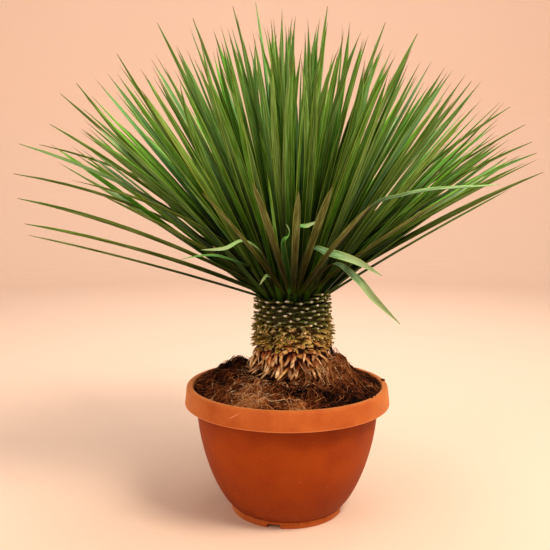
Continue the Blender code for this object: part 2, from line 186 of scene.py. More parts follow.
# %% Mesh helpers
class Gatherer:
    """Gathers lofts into one mesh, with named numbers on its points and faces."""

    def __init__(self):
        self.points = []
        self.faces = []
        self.point_values = {}
        self.face_values = {}

    def loft(self, rings, sides=None, **values):
        """Joins rings of points and closes both ends. A value is a number, or one number a ring, or a list
        a ring. Sides names numbers for the faces between each point of a ring and the next."""
        starts = []
        for k, ring in enumerate(rings):
            starts.append(len(self.points))
            self.points.extend(ring)
            for name, value in values.items():
                here = value if isinstance(value, (int, float)) else value[k]
                spread = here if isinstance(here, (list, tuple)) else [here] * len(ring)
                self.point_values.setdefault(name, []).extend(spread)
        first_face = len(self.faces)
        for k in range(len(rings) - 1):
            self.bridge(starts[k], len(rings[k]), starts[k + 1], len(rings[k + 1]))
        made = len(self.faces) - first_face
        for end, start in ((rings[0], starts[0]), (rings[-1], starts[-1])):
            if len(end) > 2:
                corners = range(start, start + len(end))
                self.faces.append(tuple(reversed(corners)) if end is rings[0] else tuple(corners))
        for name, by_side in (sides or {}).items():
            found = [by_side[i % len(by_side)] for i in range(made)]
            found += [by_side[0]] * (len(self.faces) - first_face - made)
            self.face_values.setdefault(name, []).extend(found)

    def bridge(self, low, low_count, high, high_count):
        """Faces between two rings, of which one may be a single point."""
        count = max(low_count, high_count)
        for i in range(count):
            j = (i + 1) % count
            if low_count == 1:
                self.faces.append((low, high + j, high + i))
            elif high_count == 1:
                self.faces.append((low + i, low + j, high))
            else:
                self.faces.append((low + i, low + j, high + j, high + i))

    def make(self, name, finish, slot=None, sharp=50):
        """Makes the piece, shaded smooth except where its faces meet at more than the sharp angle."""
        mesh = bpy.data.meshes.new(name)
        mesh.from_pydata(self.points, [], self.faces)
        for values, domain in ((self.point_values, "POINT"), (self.face_values, "FACE")):
            for key, numbers in values.items():
                mesh.attributes.new(key, "FLOAT", domain).data.foreach_set("value", numbers)
        mesh.materials.append(finish)
        mesh.shade_smooth()
        mesh.set_sharp_from_angle(angle=math.radians(sharp))
        piece = bpy.data.objects.new(name, mesh)
        bpy.context.scene.collection.objects.link(piece)
        if slot:
            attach(piece, "root")
        print(f"{name}: {len(self.points)} points, {sum(len(f) - 2 for f in self.faces)} triangles")
        return piece


# %% Rings
def circle(radius, height, steps, centre_x=0.0):
    """A ring of points round an upright axis, or one point where the radius is nothing."""
    if radius == 0:
        return [Vector((centre_x, 0, height))]
    turns = [math.tau * i / steps for i in range(steps)]
    return [Vector((centre_x + radius * math.cos(a), radius * math.sin(a), height)) for a in turns]


def polar(radius, angle, height, centre_x=0.0):
    return Vector((centre_x + radius * math.cos(angle), radius * math.sin(angle), height))


# %% [markdown]
# ## Floor
#
# A sweep of smooth plaster or paper is the usual ground in a studio. It is turned here from one outline:
# flat, then a wide quarter round, then upright. A plane with a wall behind it would show where they meet.

# %% Floor
FLOOR_REACH = 5.5
SWEEP = 1.6
SWEEP_STEPS = 24
WALL_TOP = 3.2
FLOOR_STEPS = 64

paper = new_finish("matt_studio_paper", Base_Color=linear("EBCFBB"), Roughness=0.9)
sweep = [(0, 0), (FLOOR_REACH - SWEEP, 0)]
for i in range(1, SWEEP_STEPS + 1):
    a = math.pi / 2 * i / SWEEP_STEPS
    sweep.append((FLOOR_REACH - SWEEP * (1 - math.sin(a)), SWEEP * (1 - math.cos(a))))
sweep.append((FLOOR_REACH, WALL_TOP))
ground = Gatherer()
for (near, low), (far, high) in zip(sweep, sweep[1:]):
    start = len(ground.points)
    inner_count = 1 if near == 0 else FLOOR_STEPS
    ground.points += circle(near, low, FLOOR_STEPS) + circle(far, high, FLOOR_STEPS)
    ground.bridge(start, inner_count, start + inner_count, FLOOR_STEPS)
ground.make("floor", paper)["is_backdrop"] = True

# %% [markdown]
# ## Pot
#
# The pot is one injection moulding: a thin bowl with a foot ring, a hollow collar folded down from its
# rim, and rounded edges wherever the steel of the mould was. A turned outline gives all of that at once,
# with each corner rounded by its own radius. Bevels on a coarse turned mesh could also do it, but the
# outline keeps the collar's wall at its true thickness. The foot ring's notches and the floor's holes are
# cut after.

# %% Pot sizes
POT_HEIGHT = 0.240
COLLAR_HEIGHT = 0.035
COLLAR_RADIUS = 0.200
COLLAR_TOP_RADIUS = 0.1965
COLLAR_WALL = 0.0032
RIM_INNER_RADIUS = 0.1855
BODY_TOP_RADIUS = 0.177
FOOT_RADIUS = 0.1075
FOOT_HEIGHT = 0.012
FOOT_WALL = 0.012
FOOT_STEP = 0.001
WALL = 0.0034
FLOOR_UNDERSIDE = 0.010
FLOOR_TOP = FLOOR_UNDERSIDE + WALL
COLLAR_BOTTOM = POT_HEIGHT - COLLAR_HEIGHT
BULGE_OUT = 1.72
BULGE_UP = 1.35
POT_STEPS = 160


def held(low, value, high):
    """The value, kept between low and high."""
    return min(max(value, low), high)


def body_radius(height):
    """The bowl's outer radius between its foot and its collar."""
    share = held(0, (height - FOOT_HEIGHT) / (COLLAR_BOTTOM - FOOT_HEIGHT), 1)
    bulge = (1 - (1 - share) ** BULGE_OUT) ** (1 / BULGE_UP)
    return FOOT_RADIUS + (BODY_TOP_RADIUS - FOOT_RADIUS) * bulge


def inner_radius(height):
    """The bowl's inner radius. Behind the collar the wall leans out to the rim."""
    if height <= COLLAR_BOTTOM:
        return body_radius(height) - WALL
    lean = (height - COLLAR_BOTTOM) / COLLAR_HEIGHT
    return BODY_TOP_RADIUS - WALL + (RIM_INNER_RADIUS - BODY_TOP_RADIUS + WALL) * lean


# %% Pot outline
def rounded(corners, steps=4):
    """An outline of (radius, height) points whose corners are rounded by the third number of each."""
    places = [Vector(corner[:2]) for corner in corners]
    outline = []
    for i, (radius, height, rounding) in enumerate(corners):
        if not rounding:
            outline.append((radius, height))
            continue
        middle = places[i]
        before = middle + (places[i - 1] - middle).normalized() * rounding
        after = middle + (places[i + 1] - middle).normalized() * rounding
        for k in range(steps + 1):
            t = k / steps
            point = before * (1 - t) ** 2 + middle * 2 * t * (1 - t) + after * t**2
            outline.append((point.x, point.y))
    return outline


def rows(low, high, count):
    """Heights from low to high, closer together near the foot, where the bowl curves most."""
    return [low + (high - low) * (i / count) ** 1.5 for i in range(count + 1)]


foot = FOOT_RADIUS + FOOT_STEP
under_rim = POT_HEIGHT - COLLAR_WALL
wall_at_rim = RIM_INNER_RADIUS + WALL
corners = [(0, FLOOR_UNDERSIDE, 0), (foot - FOOT_WALL, FLOOR_UNDERSIDE, 0.001)]
corners += [(foot - FOOT_WALL, 0, 0.001), (foot, 0, 0.0015), (foot, FOOT_HEIGHT - 0.0008, 0.0008)]
corners += [(body_radius(height), height, 0) for height in rows(FOOT_HEIGHT, COLLAR_BOTTOM, 36)]
corners += [(wall_at_rim, under_rim, 0.0008), (COLLAR_TOP_RADIUS - COLLAR_WALL, under_rim, 0.0015)]
corners += [(COLLAR_RADIUS - COLLAR_WALL, COLLAR_BOTTOM, 0.0008), (COLLAR_RADIUS, COLLAR_BOTTOM, 0.0016)]
corners += [(COLLAR_TOP_RADIUS, POT_HEIGHT, 0.0045), (RIM_INNER_RADIUS, POT_HEIGHT, 0.0022)]
inside = reversed(rows(FLOOR_TOP, COLLAR_BOTTOM, 16)[1:])
corners += [(inner_radius(height), height, 0) for height in inside]
corners += [(inner_radius(FLOOR_TOP), FLOOR_TOP, 0.0012), (0, FLOOR_TOP, 0)]
pot_outline = rounded(corners)
print("pot outline:", len(pot_outline), "points")

# %% [markdown]
# ### Terracotta-coloured plastic
#
# The real stuff is polypropylene, moulded against etched steel, which leaves a fine even grain and a satin
# shine. Its IOR is 1.49. The grain of the mould is 0.3 mm, too fine to show, so it is drawn 1.5 mm wide in
# the relief and 2.2 mm wide in the colour. Sun and soil dust make the collar and the foot cloudy and pale,
# and part of their paleness is painted light: they face the lamps, and the bowl under the collar does not.
# Where they are seen at a slant they are paler again, which is a painted sheen. The bowl is painted darker
# low down and just under the collar, as shade. Water leaves faint upright streaks low on the bowl, and the
# collar's lower edge is paler still, partly rubbed by other pots and partly a painted highlight on its
# rounded edge. Each of these is a mask, laid over the last colour. A painted picture could show the same,
# but masks stay sharp at any distance.

# %% Terracotta plastic
MOULD_GRAIN = 0.0015
COLOUR_GRAIN = 0.0022
DUST_CLOUD = 0.045
STREAK_WIDTH = 0.004
STREAK_LENGTH = 0.07
SPECK = 0.004
SCRATCHES = (
    # start, end and width in metres
    ((-0.075, -0.184, 0.2385), (-0.102, -0.171, 0.2215), 0.0012),
    ((-0.090, -0.177, 0.2390), (-0.083, -0.181, 0.2290), 0.0007),
    ((0.021, -0.166, 0.150), (0.026, -0.163, 0.142), 0.0008),
)

plastic = new_finish("moulded_polypropylene", Roughness=0.55, IOR=1.49, Specular_IOR_Level=0.08)
place = add(plastic, "TexCoord", get="Object")


def scratch_mask(finish, place, start, end, width):
    """1 on a straight scratch between two points, and 0 away from it."""
    run = Vector(end) - Vector(start)
    offset = add(finish, "VectorMath", (place, start), operation="SUBTRACT")
    shadow = (offset, run / run.length_squared)
    along = add(finish, "VectorMath", shadow, operation="DOT_PRODUCT", get="Value")
    share = add(finish, "Clamp", (along,))
    nearest = add(finish, "VectorMath", {0: run, "Scale": share}, operation="SCALE")
    away = add(finish, "VectorMath", (offset, nearest), operation="DISTANCE", get="Value")
    return add(finish, "MapRange", (away, width * 0.3, width, 1, 0))


# %% Terracotta plastic: sun and dust
clouds = add(plastic, "TexNoise", {"Vector": place, "Scale": 1 / DUST_CLOUD, "Detail": 6})
# The bowl is darker than the collar and the foot: partly sun fade on them, and partly painted light, since
# they face the lamps and the bowl under the collar does not.
body = add(plastic, "ValToRGB", (clouds,), stops=((0.32, "8F380A"), (0.62, "9A410D")))
faded_and_lit = add(plastic, "ValToRGB", (clouds,), stops=((0.32, "A65022"), (0.62, "B5602C")))
height = add(plastic, "SeparateXYZ", (place,), get="Z")
on_collar = add(plastic, "MapRange", (height, COLLAR_BOTTOM - 0.003, COLLAR_BOTTOM))
on_foot = add(plastic, "MapRange", (height, FOOT_HEIGHT + 0.001, FOOT_HEIGHT - 0.001))
exposed = add(plastic, "Math", (on_collar, on_foot), operation="MAXIMUM")
# Painted sheen: the collar and the foot are paler where they are seen at a slant, as dust shows there.
facing = add(plastic, "LayerWeight", {"Blend": 0.5}, get="Facing")
painted_dust_sheen = add(plastic, "MapRange", (facing, 0.35, 1.0, 0, 0.55))
faded_and_lit = add(plastic, "MixRGB", (painted_dust_sheen, faded_and_lit, "E39A5C"))
colour = add(plastic, "MixRGB", (exposed, body, faded_and_lit))

# %% Terracotta plastic: grain and shade
fine = add(plastic, "TexNoise", {"Vector": place, "Scale": 1 / COLOUR_GRAIN, "Detail": 2})
grainy = add(plastic, "MapRange", (fine, 0.3, 0.7, 0.93, 1.07))
# Painted shade: the bowl is darker low down and just under the collar.
low_shade = add(plastic, "MapRange", (height, FOOT_HEIGHT, 0.115, 0.76, 1))
collar_shadow = add(plastic, "MapRange", (height, 0.165, COLLAR_BOTTOM, 1, 0.82))
painted_shade = add(plastic, "Math", (low_shade, collar_shadow), operation="MULTIPLY")
bowl_shade = add(plastic, "Math", (painted_shade, exposed), operation="MAXIMUM")
shade = add(plastic, "Math", (grainy, bowl_shade), operation="MULTIPLY")
colour = add(plastic, "VectorMath", {0: colour, "Scale": shade}, operation="SCALE")

# %% Terracotta plastic: streaks, specks and scratches
stretch = (1 / STREAK_WIDTH, 1 / STREAK_WIDTH, 1 / STREAK_LENGTH)
upright = add(plastic, "VectorMath", (place, stretch), operation="MULTIPLY")
streaks = add(plastic, "TexNoise", {"Vector": upright, "Scale": 1, "Detail": 3})
low_down = add(plastic, "MapRange", (height, 0.12, 0.03))
streaked = add(plastic, "MapRange", (streaks, 0.52, 0.72, 0, 0.45))
streak_mask = add(plastic, "Math", (low_down, streaked), operation="MULTIPLY")
speckle = add(plastic, "TexNoise", {"Vector": place, "Scale": 1 / SPECK, "Detail": 2})
speck_mask = add(plastic, "MapRange", (speckle, 0.72, 0.78, 0, 0.5))
# The collar's lower edge is paler, partly rubbed and partly a painted highlight on its rounded edge.
edge = add(plastic, "MapRange", (height, COLLAR_BOTTOM + 0.0022, COLLAR_BOTTOM + 0.0008))
outside = add(plastic, "VectorMath", (place, (1, 1, 0)), operation="MULTIPLY")
radius = add(plastic, "VectorMath", (outside,), operation="LENGTH", get="Value")
collar_from = COLLAR_TOP_RADIUS
is_collar = add(plastic, "MapRange", (radius, collar_from, collar_from + 0.0015, 0, 0.55))
edge_wear_and_highlight = add(plastic, "Math", (edge, is_collar), operation="MULTIPLY")
marks = [(streak_mask, "6E2408"), (speck_mask, "D98C62"), (edge_wear_and_highlight, "E59562")]
marks += [(scratch_mask(plastic, place, *scratch), "E8A880") for scratch in SCRATCHES]
for mask, hex_colour in marks:
    colour = add(plastic, "MixRGB", (mask, colour, hex_colour))
grain = add(plastic, "TexNoise", {"Vector": place, "Scale": 1 / MOULD_GRAIN, "Detail": 2})
bump = add(plastic, "Bump", {"Height": grain, "Strength": 0.06, "Distance": 0.0004})
rough = add(plastic, "MapRange", (clouds, 0.3, 0.7, 0.50, 0.62))
connect(plastic, Base_Color=colour, Normal=bump, Roughness=rough)
print("marks on the plastic:", len(marks))

# %% [markdown]
# ### The pot's mesh
#
# The outline is turned into rings and lofted. The notches of the foot ring let water out under the pot,
# and the holes in its floor let it drain. Boxes and cylinders take them away in one boolean, as a drill
# would, which leaves true openings with sharp edges.

# %% Pot mesh
NOTCH_WIDTH = 0.025
NOTCH_HEIGHT = 0.007
NOTCH_COUNT = 4
FIRST_NOTCH_ANGLE = math.radians(-104)
DRAIN_RADIUS = 0.006
DRAIN_COUNT = 6
DRAIN_CIRCLE = 0.070
DRAIN_STEPS = 24

bowl = Gatherer()
bowl.loft([circle(radius, height, POT_STEPS) for radius, height in pot_outline])
pot = bowl.make("bowl_pot", plastic, "terracotta_plastic", sharp=40)

cutters = Gatherer()
for i in range(NOTCH_COUNT):
    a = FIRST_NOTCH_ANGLE + math.tau * i / NOTCH_COUNT
    aside = Vector((-math.sin(a), math.cos(a), 0)) * NOTCH_WIDTH / 2
    near, far = polar(FOOT_RADIUS - 2 * FOOT_WALL, a, 0), polar(FOOT_RADIUS + FOOT_WALL, a, 0)
    ring = [near - aside, far - aside, far + aside, near + aside]
    up = Vector((0, 0, NOTCH_HEIGHT))
    cutters.loft([[point - up for point in ring], [point + up for point in ring]])
for i in range(DRAIN_COUNT):
    middle = polar(DRAIN_CIRCLE, math.tau * i / DRAIN_COUNT, 0)
    drill = (circle(DRAIN_RADIUS, h, DRAIN_STEPS) for h in (0.004, FLOOR_TOP + 0.006))
    cutters.loft([[middle + point for point in ring] for ring in drill])
cutter = cutters.make("pot_cuts", plastic)
cut = pot.modifiers.new("cuts", "BOOLEAN")
cut.object = cutter
cut.operation = "DIFFERENCE"
cut.solver = "EXACT"
bpy.context.view_layer.update()
pot.data = bpy.data.meshes.new_from_object(pot.evaluated_get(bpy.context.evaluated_depsgraph_get()))
pot.modifiers.clear()
bpy.data.objects.remove(cutter)
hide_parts("pot")
print("pot after its cuts:", len(pot.data.polygons), "faces")

# %% [markdown]
# ## Soil
#
# Potting soil is coir and peat: crumbs, hollows and a mat of fibres. A displaced plane would do for a far
# view, but here the soil is seen close, so its surface is a fine grid raised by layers of noise, from
# hollows 30 mm wide to crumbs of 3.5 mm. Loose crumbs and real fibres lie on top of it in later steps.

# %% Soil surface
STEM_X = 0.011
STEM_RADIUS = 0.0662
STEM_BOTTOM = 0.125
SOIL_EDGE_HEIGHT = 0.2325
SOIL_MOUND_HEIGHT = 0.0340
LUMP_SPACING = 0.080
LUMP_HEIGHT = 0.0024
CLUMP_ANGLE = math.radians(-10)
CLUMP_RADIUS = 0.103
CLUMP_HEIGHT = 0.038
CLUMP_SPREAD = 0.028
BACK_RISE_ANGLE = math.radians(138)
BACK_RISE_RADIUS = 0.150
BACK_RISE = 0.018
BACK_RISE_SPREAD = 0.034
GAP = 0.0005
SOIL_RINGS = 96
SOIL_STEPS = 400
HOLLOW_SIZE = 0.030
CLOD_SIZE = 0.013
CRUMB_SIZE = 0.0035
RELIEF_HEIGHT = 0.0068
CRUMB_HEIGHT = 0.0014
DEEP_HOLLOW_DEPTH = 0.0085
CALM_BY_WALL = 0.020
SKIRT_REACH = 0.080
CALM_BY_SKIRT = 0.030
DEEP_HOLLOWS = (
    # middle and size in metres
    (-0.0274, -0.0880, 0.010),
    (0.0726, -0.0870, 0.013),
    (0.0176, -0.1257, 0.015),
    (-0.1287, 0.0570, 0.022),
    (0.0650, -0.1280, 0.012),
    (0.1380, -0.0650, 0.016),
)


def bump_at(x, y, angle, radius, spread):
    """1 at a place on the soil, falling off smoothly round it."""
    away = math.hypot(x - radius * math.cos(angle), y - radius * math.sin(angle))
    return math.exp(-((away / spread) ** 2))


def soil_mound(x, y):
    """The soil's main shape: a mound, a fibrous clump right of the trunk and a rise at the back."""
    edge = min(math.hypot(x, y) / RIM_INNER_RADIUS, 1)
    height = SOIL_EDGE_HEIGHT + SOIL_MOUND_HEIGHT * (1 - edge**2.2)
    height += CLUMP_HEIGHT * bump_at(x, y, CLUMP_ANGLE, CLUMP_RADIUS, CLUMP_SPREAD)
    height += BACK_RISE * bump_at(x, y, BACK_RISE_ANGLE, BACK_RISE_RADIUS, BACK_RISE_SPREAD)
    lumps = math.sin(math.tau * x / LUMP_SPACING + 1.3) * math.sin(math.tau * y / LUMP_SPACING + 0.4)
    return height + LUMP_HEIGHT * lumps * (1 - edge**8)


def relief(x, y):
    """How far the soil's hollows and clods stand out here, about -1 to 1."""
    here = Vector((x, y, 0))
    hollows = noise.noise(here / HOLLOW_SIZE + Vector((4, 1, 0)))
    clods = noise.noise(here / CLOD_SIZE + Vector((0, 7, 2)))
    return 1.1 * hollows + 1.1 * clods


def hollow(x, y):
    """1 in the middle of the few deep holes, and 0 away from them."""
    return max(math.exp(-(((x - a) ** 2 + (y - b) ** 2) / size**2)) for a, b, size in DEEP_HOLLOWS)


def soil_top(x, y):
    """The soil's surface with its hollows, clods and crumbs, calmer by the pot and the dead leaves."""
    crumbs = noise.noise(Vector((x, y, 0)) / CRUMB_SIZE + Vector((3, 0, 9))) * CRUMB_HEIGHT
    from_wall = (RIM_INNER_RADIUS - math.hypot(x, y)) / CALM_BY_WALL
    from_stem = (math.hypot(x - STEM_X, y) - SKIRT_REACH) / CALM_BY_SKIRT
    calm = min(max(from_wall, 0.15), max(from_stem, 0.25), 1)
    rough = relief(x, y) * RELIEF_HEIGHT * calm + crumbs * min(1, calm + 0.4)
    return soil_mound(x, y) + rough - DEEP_HOLLOW_DEPTH * hollow(x, y)


# %% [markdown]
# ### Coir and peat
#
# Wet peat is nearly black, and dry coir is a warm brown. Both are matt, with a roughness near 1 and a weak
# shine. The dry coir lies in patches, the largest in front, so a number on each point says how dry it is
# there, broken up by noise at the size of the clods. The hollows are painted darker than what stands out,
# as shade, and the few deep holes darkest of all, as painted shade too. Grit of 1.8 mm shades it and gives
# it relief. The coir, the leaf bases and the straw end in the same way, so one function does that.

# %% Coir and peat
CLOD_CLOUD = 0.016
PEAT_GRIT = 0.0018
DRY_PATCHES = (
    # middle, spread and how dry
    ((-0.068, -0.138), 0.052, 1.10),
    ((0.020, -0.168), 0.028, 0.60),
    ((-0.052, -0.078), 0.022, 0.45),
    ((0.105, -0.030), 0.018, 0.20),
)


def dryness_at(x, y):
    """1 on the driest coir, and near 0 on the wet peat."""
    # The deep holes count as wet peat, so they come out darkest: painted shade in them.
    dry = 0.05 - 0.9 * hollow(x, y)
    for (middle_x, middle_y), spread, most in DRY_PATCHES:
        dry += most * math.exp(-((x - middle_x) ** 2 + (y - middle_y) ** 2) / spread**2)
    return held(-0.6, dry, 1)


def roughen(finish, colour, grit, shades, relief_strength, relief_height):
    """Ends a rough finish: noise shades the colour from dark to light, and raises the surface."""
    low, high, dark, light = shades
    shade = add(finish, "MapRange", (grit, low, high, dark, light))
    colour = add(finish, "VectorMath", {0: colour, "Scale": shade}, operation="SCALE")
    height = {"Height": grit, "Strength": relief_strength, "Distance": relief_height}
    connect(finish, Base_Color=colour, Normal=add(finish, "Bump", height))


peat = new_finish("coir_and_peat", Roughness=0.95, Specular_IOR_Level=0.05)
place = add(peat, "TexCoord", get="Object")
dry, relief_shade = (add(peat, "Attribute", attribute_name=mark, get="Fac") for mark in ("dry", "relief"))
clods = add(peat, "TexNoise", {"Vector": place, "Scale": 1 / CLOD_CLOUD, "Detail": 5})
spread = add(peat, "MapRange", (clods, 0.3, 0.7, -0.25, 0.25))
dryness = add(peat, "Math", (dry, spread), operation="ADD")
# Painted shade: the soil is darker where its relief is low, in the hollows.
tone = add(peat, "Math", (relief_shade, 0.55, dryness), operation="MULTIPLY_ADD")
stops = ((0.0, "060100"), (0.25, "1A0602"), (0.6, "54240A"), (0.98, "A8622E"))
colour = add(peat, "ValToRGB", (tone,), stops=stops)
grit = add(peat, "TexNoise", {"Vector": place, "Scale": 1 / PEAT_GRIT, "Detail": 3})
roughen(peat, colour, grit, (0.35, 0.72, 0.45, 1.6), 0.9, 0.0012)
print("dry patches:", len(DRY_PATCHES))

# %% [markdown]
# ### The soil's mesh
#
# Rings run from the floor's middle up the inside of the pot, over the surface to the trunk, and down the
# trunk's hole, so the soil is one closed body, as it is when it is tipped out of a pot. A thin gap keeps it
# off the plastic, and the hole is a little tight, so that no gap shows round the trunk.

# %% Soil mesh
floor = FLOOR_TOP + GAP
soil_rings = [circle(0, floor, 1), circle(inner_radius(FLOOR_TOP) - 0.002, floor, SOIL_STEPS)]
for height in rows(FLOOR_TOP, COLLAR_BOTTOM, 6)[1:]:
    soil_rings.append(circle(inner_radius(height) - GAP, height, SOIL_STEPS))
outer = circle(inner_radius(SOIL_EDGE_HEIGHT) - GAP, 0, SOIL_STEPS)
hole_radius = STEM_RADIUS - 0.002
hole = circle(hole_radius, 0, SOIL_STEPS, STEM_X)
for k in range(SOIL_RINGS + 1):
    ring = [far.lerp(near, k / SOIL_RINGS) for far, near in zip(outer, hole)]
    for point in ring:
        point.z = soil_top(point.x, point.y)
    soil_rings.append(ring)
soil_rings.append(circle(hole_radius, STEM_BOTTOM, SOIL_STEPS, STEM_X))
soil_rings.append(circle(0, STEM_BOTTOM, 1, STEM_X))
earth = Gatherer()
reliefs = [[relief(point.x, point.y) for point in ring] for ring in soil_rings]
dryness = [[dryness_at(point.x, point.y) for point in ring] for ring in soil_rings]
earth.loft(soil_rings, relief=reliefs, dry=dryness)
soil = earth.make("potting_soil", peat, "potting_soil", sharp=80)
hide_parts("soil")

# %% [markdown]
# ### Crumbs
#
# Loose crumbs break the smooth surface and throw small shadows. Each is a ball of twelve corners, pulled
# out of round by its own random numbers, half sunk in the soil. A few lie on the pot's rim, where they
# were spilled. Copies of a single ball would be lighter, but they would all look alike.

# %% Crumbs
CRUMB_COUNT = 1500
CRUMB_SEED = 21
CRUMB_SIZES = (0.0012, 0.0016, 0.002, 0.0028, 0.004)
RIM_CRUMBS = (
    # place and size in metres
    (0.1915, 0.010, 0.0036),
    (0.1905, 0.018, 0.0024),
    (0.1525, -0.112, 0.0022),
    (0.160, -0.101, 0.0016),
)
CRUMB_LIMIT = 0.183
CLEAR_OF_STEM = 0.072
GOLDEN_RATIO = (1 + math.sqrt(5)) / 2
BALL_CORNERS = [
    Vector(corner).normalized()
    for a in (-1, 1)
    for b in (-GOLDEN_RATIO, GOLDEN_RATIO)
    for corner in ((0, a, b), (a, b, 0), (b, 0, a))
]


def ball_faces():
    """The 20 triangles of a ball of 12 corners: each joins three corners that are neighbours."""
    near = 1.2
    faces = []
    for trio in combinations(range(len(BALL_CORNERS)), 3):
        a, b, c = (BALL_CORNERS[corner] for corner in trio)
        if max((a - b).length, (b - c).length, (a - c).length) < near:
            faces.append(trio if (b - a).cross(c - a).dot(a) > 0 else (trio[0], trio[2], trio[1]))
    return faces


BALL_FACES = ball_faces()


def random_place(chance):
    """An even random place on the soil, clear of the trunk."""
    while True:
        x, y = chance.uniform(-CRUMB_LIMIT, CRUMB_LIMIT), chance.uniform(-CRUMB_LIMIT, CRUMB_LIMIT)
        if math.hypot(x, y) < CRUMB_LIMIT and math.hypot(x - STEM_X, y) > CLEAR_OF_STEM:
            return x, y


def crumb(gatherer, middle, size, chance, tone):
    squash = Vector((chance.uniform(0.7, 1.3), chance.uniform(0.7, 1.3), chance.uniform(0.5, 0.9)))
    start = len(gatherer.points)
    for corner in BALL_CORNERS:
        gatherer.points.append(middle + corner * squash * size * chance.uniform(0.7, 1.25))
    gatherer.faces += [tuple(start + i for i in face) for face in BALL_FACES]
    gatherer.point_values.setdefault("tone", []).extend([tone] * len(BALL_CORNERS))


chance = random.Random(CRUMB_SEED)
crumbs = Gatherer()
for i in range(CRUMB_COUNT):
    x, y = random_place(chance)
    size = chance.choice(CRUMB_SIZES) * chance.uniform(0.8, 1.2)
    tone = dryness_at(x, y) * 0.5 + chance.uniform(-0.1, 0.25)
    crumb(crumbs, Vector((x, y, soil_top(x, y) + size * 0.2)), size, chance, tone)
for x, y, size in RIM_CRUMBS:
    crumb(crumbs, Vector((x, y, POT_HEIGHT + size * 0.5)), size, chance, 0.22)

# %% [markdown]
# ### Fibres
#
# Coir is the husk of the coconut, in threads 0.1 to 0.3 mm thick. Threads that fine vanish in the picture,
# so they are drawn 0.6 to 1.4 mm thick, fewer of them, as three-sided tubes that wander over the surface.
# Particles or hair curves would be quicker to make, but real tubes stay in an exported model. They lie
# where the soil is dry and stands out, and each has its own tone, from wet brown to pale straw.

# %% Fibre finish
HUSK_GRIT = 0.002

husk = new_finish("coir_and_root_fibre", Roughness=0.85, Specular_IOR_Level=0.12)
tone = add(husk, "Attribute", attribute_name="tone", get="Fac")
stops = ((0.0, "180702"), (0.25, "471F0C"), (0.55, "8A4A22"), (0.8, "BC8350"), (1.0, "E4C298"))
colour = add(husk, "ValToRGB", (tone,), stops=stops)
place = add(husk, "TexCoord", get="Object")
grit = add(husk, "TexNoise", {"Vector": place, "Scale": 1 / HUSK_GRIT, "Detail": 2})
roughen(husk, colour, grit, (0.3, 0.7, 0.65, 1.3), 0.5, 0.0006)
print("tones of fibre:", len(stops))

# %% Threads
FIBRE_LIMIT = 0.1815
FIBRE_LIFT = 0.0006


def thread(gatherer, points, thickness, tone, sides=3):
    """A tube along points, thinner towards its ends."""
    rings = []
    last = len(points) - 1
    turns = [math.tau * i / sides for i in range(sides)]
    for k, point in enumerate(points):
        along = (points[min(k + 1, last)] - points[max(k - 1, 0)]).normalized()
        side = along.cross(Vector((0, 0, 1)))
        side = side.normalized() if side.length > 0.01 else Vector((1, 0, 0))
        up = side.cross(along)
        radius = thickness / 2 * (1 - 0.6 * abs(2 * k / last - 1) ** 3)
        rings.append([point + (side * math.cos(a) + up * math.sin(a)) * radius for a in turns])
    gatherer.loft(rings, tone=tone)


def wandering(chance, x, y, heading, length, steps, wander, arch):
    """Points of a fibre that wanders over the soil, arches up a little, and turns back at the pot."""
    points = []
    for k in range(steps + 1):
        if math.hypot(x, y) > FIBRE_LIMIT:
            heading += math.pi / 2
            x, y = x * 0.985, y * 0.985
        lift = FIBRE_LIFT + arch * math.sin(math.pi * k / steps)
        points.append(Vector((x, y, soil_top(x, y) + lift)))
        heading += chance.gauss(0, wander)
        x += math.cos(heading) * length / steps
        y += math.sin(heading) * length / steps
    return points


# %% Coir fibres
FIBRE_COUNT = 5200
FIBRE_SEED = 8

chance = random.Random(FIBRE_SEED)
fibres = Gatherer()
for i in range(FIBRE_COUNT):
    x, y = random_place(chance)
    dry = dryness_at(x, y)
    if chance.random() > 0.42 + 0.6 * dry + 0.5 * relief(x, y):
        continue
    length = chance.uniform(0.012, 0.048)
    arch = chance.uniform(0, 0.0075)
    path = wandering(chance, x, y, chance.uniform(0, math.tau), length, 4, 0.45, arch)
    # Painted light and shade: fibres on raised soil are paler, those in its hollows darker.
    tone = chance.gauss(0.14 + 0.50 * dry + 0.42 * relief(x, y), 0.20)
    thread(fibres, path, chance.uniform(0.0006, 0.0014), held(0.0, tone, 0.95))
print("coir: points", len(fibres.points))

# %% [markdown]
# ### Roots
#
# The plant's own roots are threads of the same kind. Pale ones creep out from under the dead leaf bases,
# and a mat of them makes the clump at the right of the trunk, darker as it runs out over the soil. More
# hang down to the clump from the trunk's foot. Each of those is a smooth curve through three places, with
# a small random curl, so no two are alike. A dead stub, split in two, sticks out above them.

# %% Roots on the soil
PALE_ROOT_COUNT = 70
PALE_ROOT_START = 0.084
LONE_ROOT = ((-0.1145, -0.112), (-0.098, -0.102), (-0.084, -0.104), (-0.0695, -0.101))
LONE_ROOT_STEPS = 12
CLUMP_ROOT_COUNT = 900
CLUMP_CLEAR_OF_STEM = 0.074
CLUMP_LIMIT = 0.178


def smooth_path(points, share):
    """A point of a smooth curve through the given points, at a share of their count."""
    place = share * (len(points) - 1)
    i = min(int(place), len(points) - 2)
    t = place - i
    a = points[max(i - 1, 0)]
    b = points[i]
    c = points[i + 1]
    d = points[min(i + 2, len(points) - 1)]
    bend = (c - a) * t + (2 * a - 5 * b + 4 * c - d) * t**2 + (3 * b - 3 * c + d - a) * t**3
    return b + bend / 2


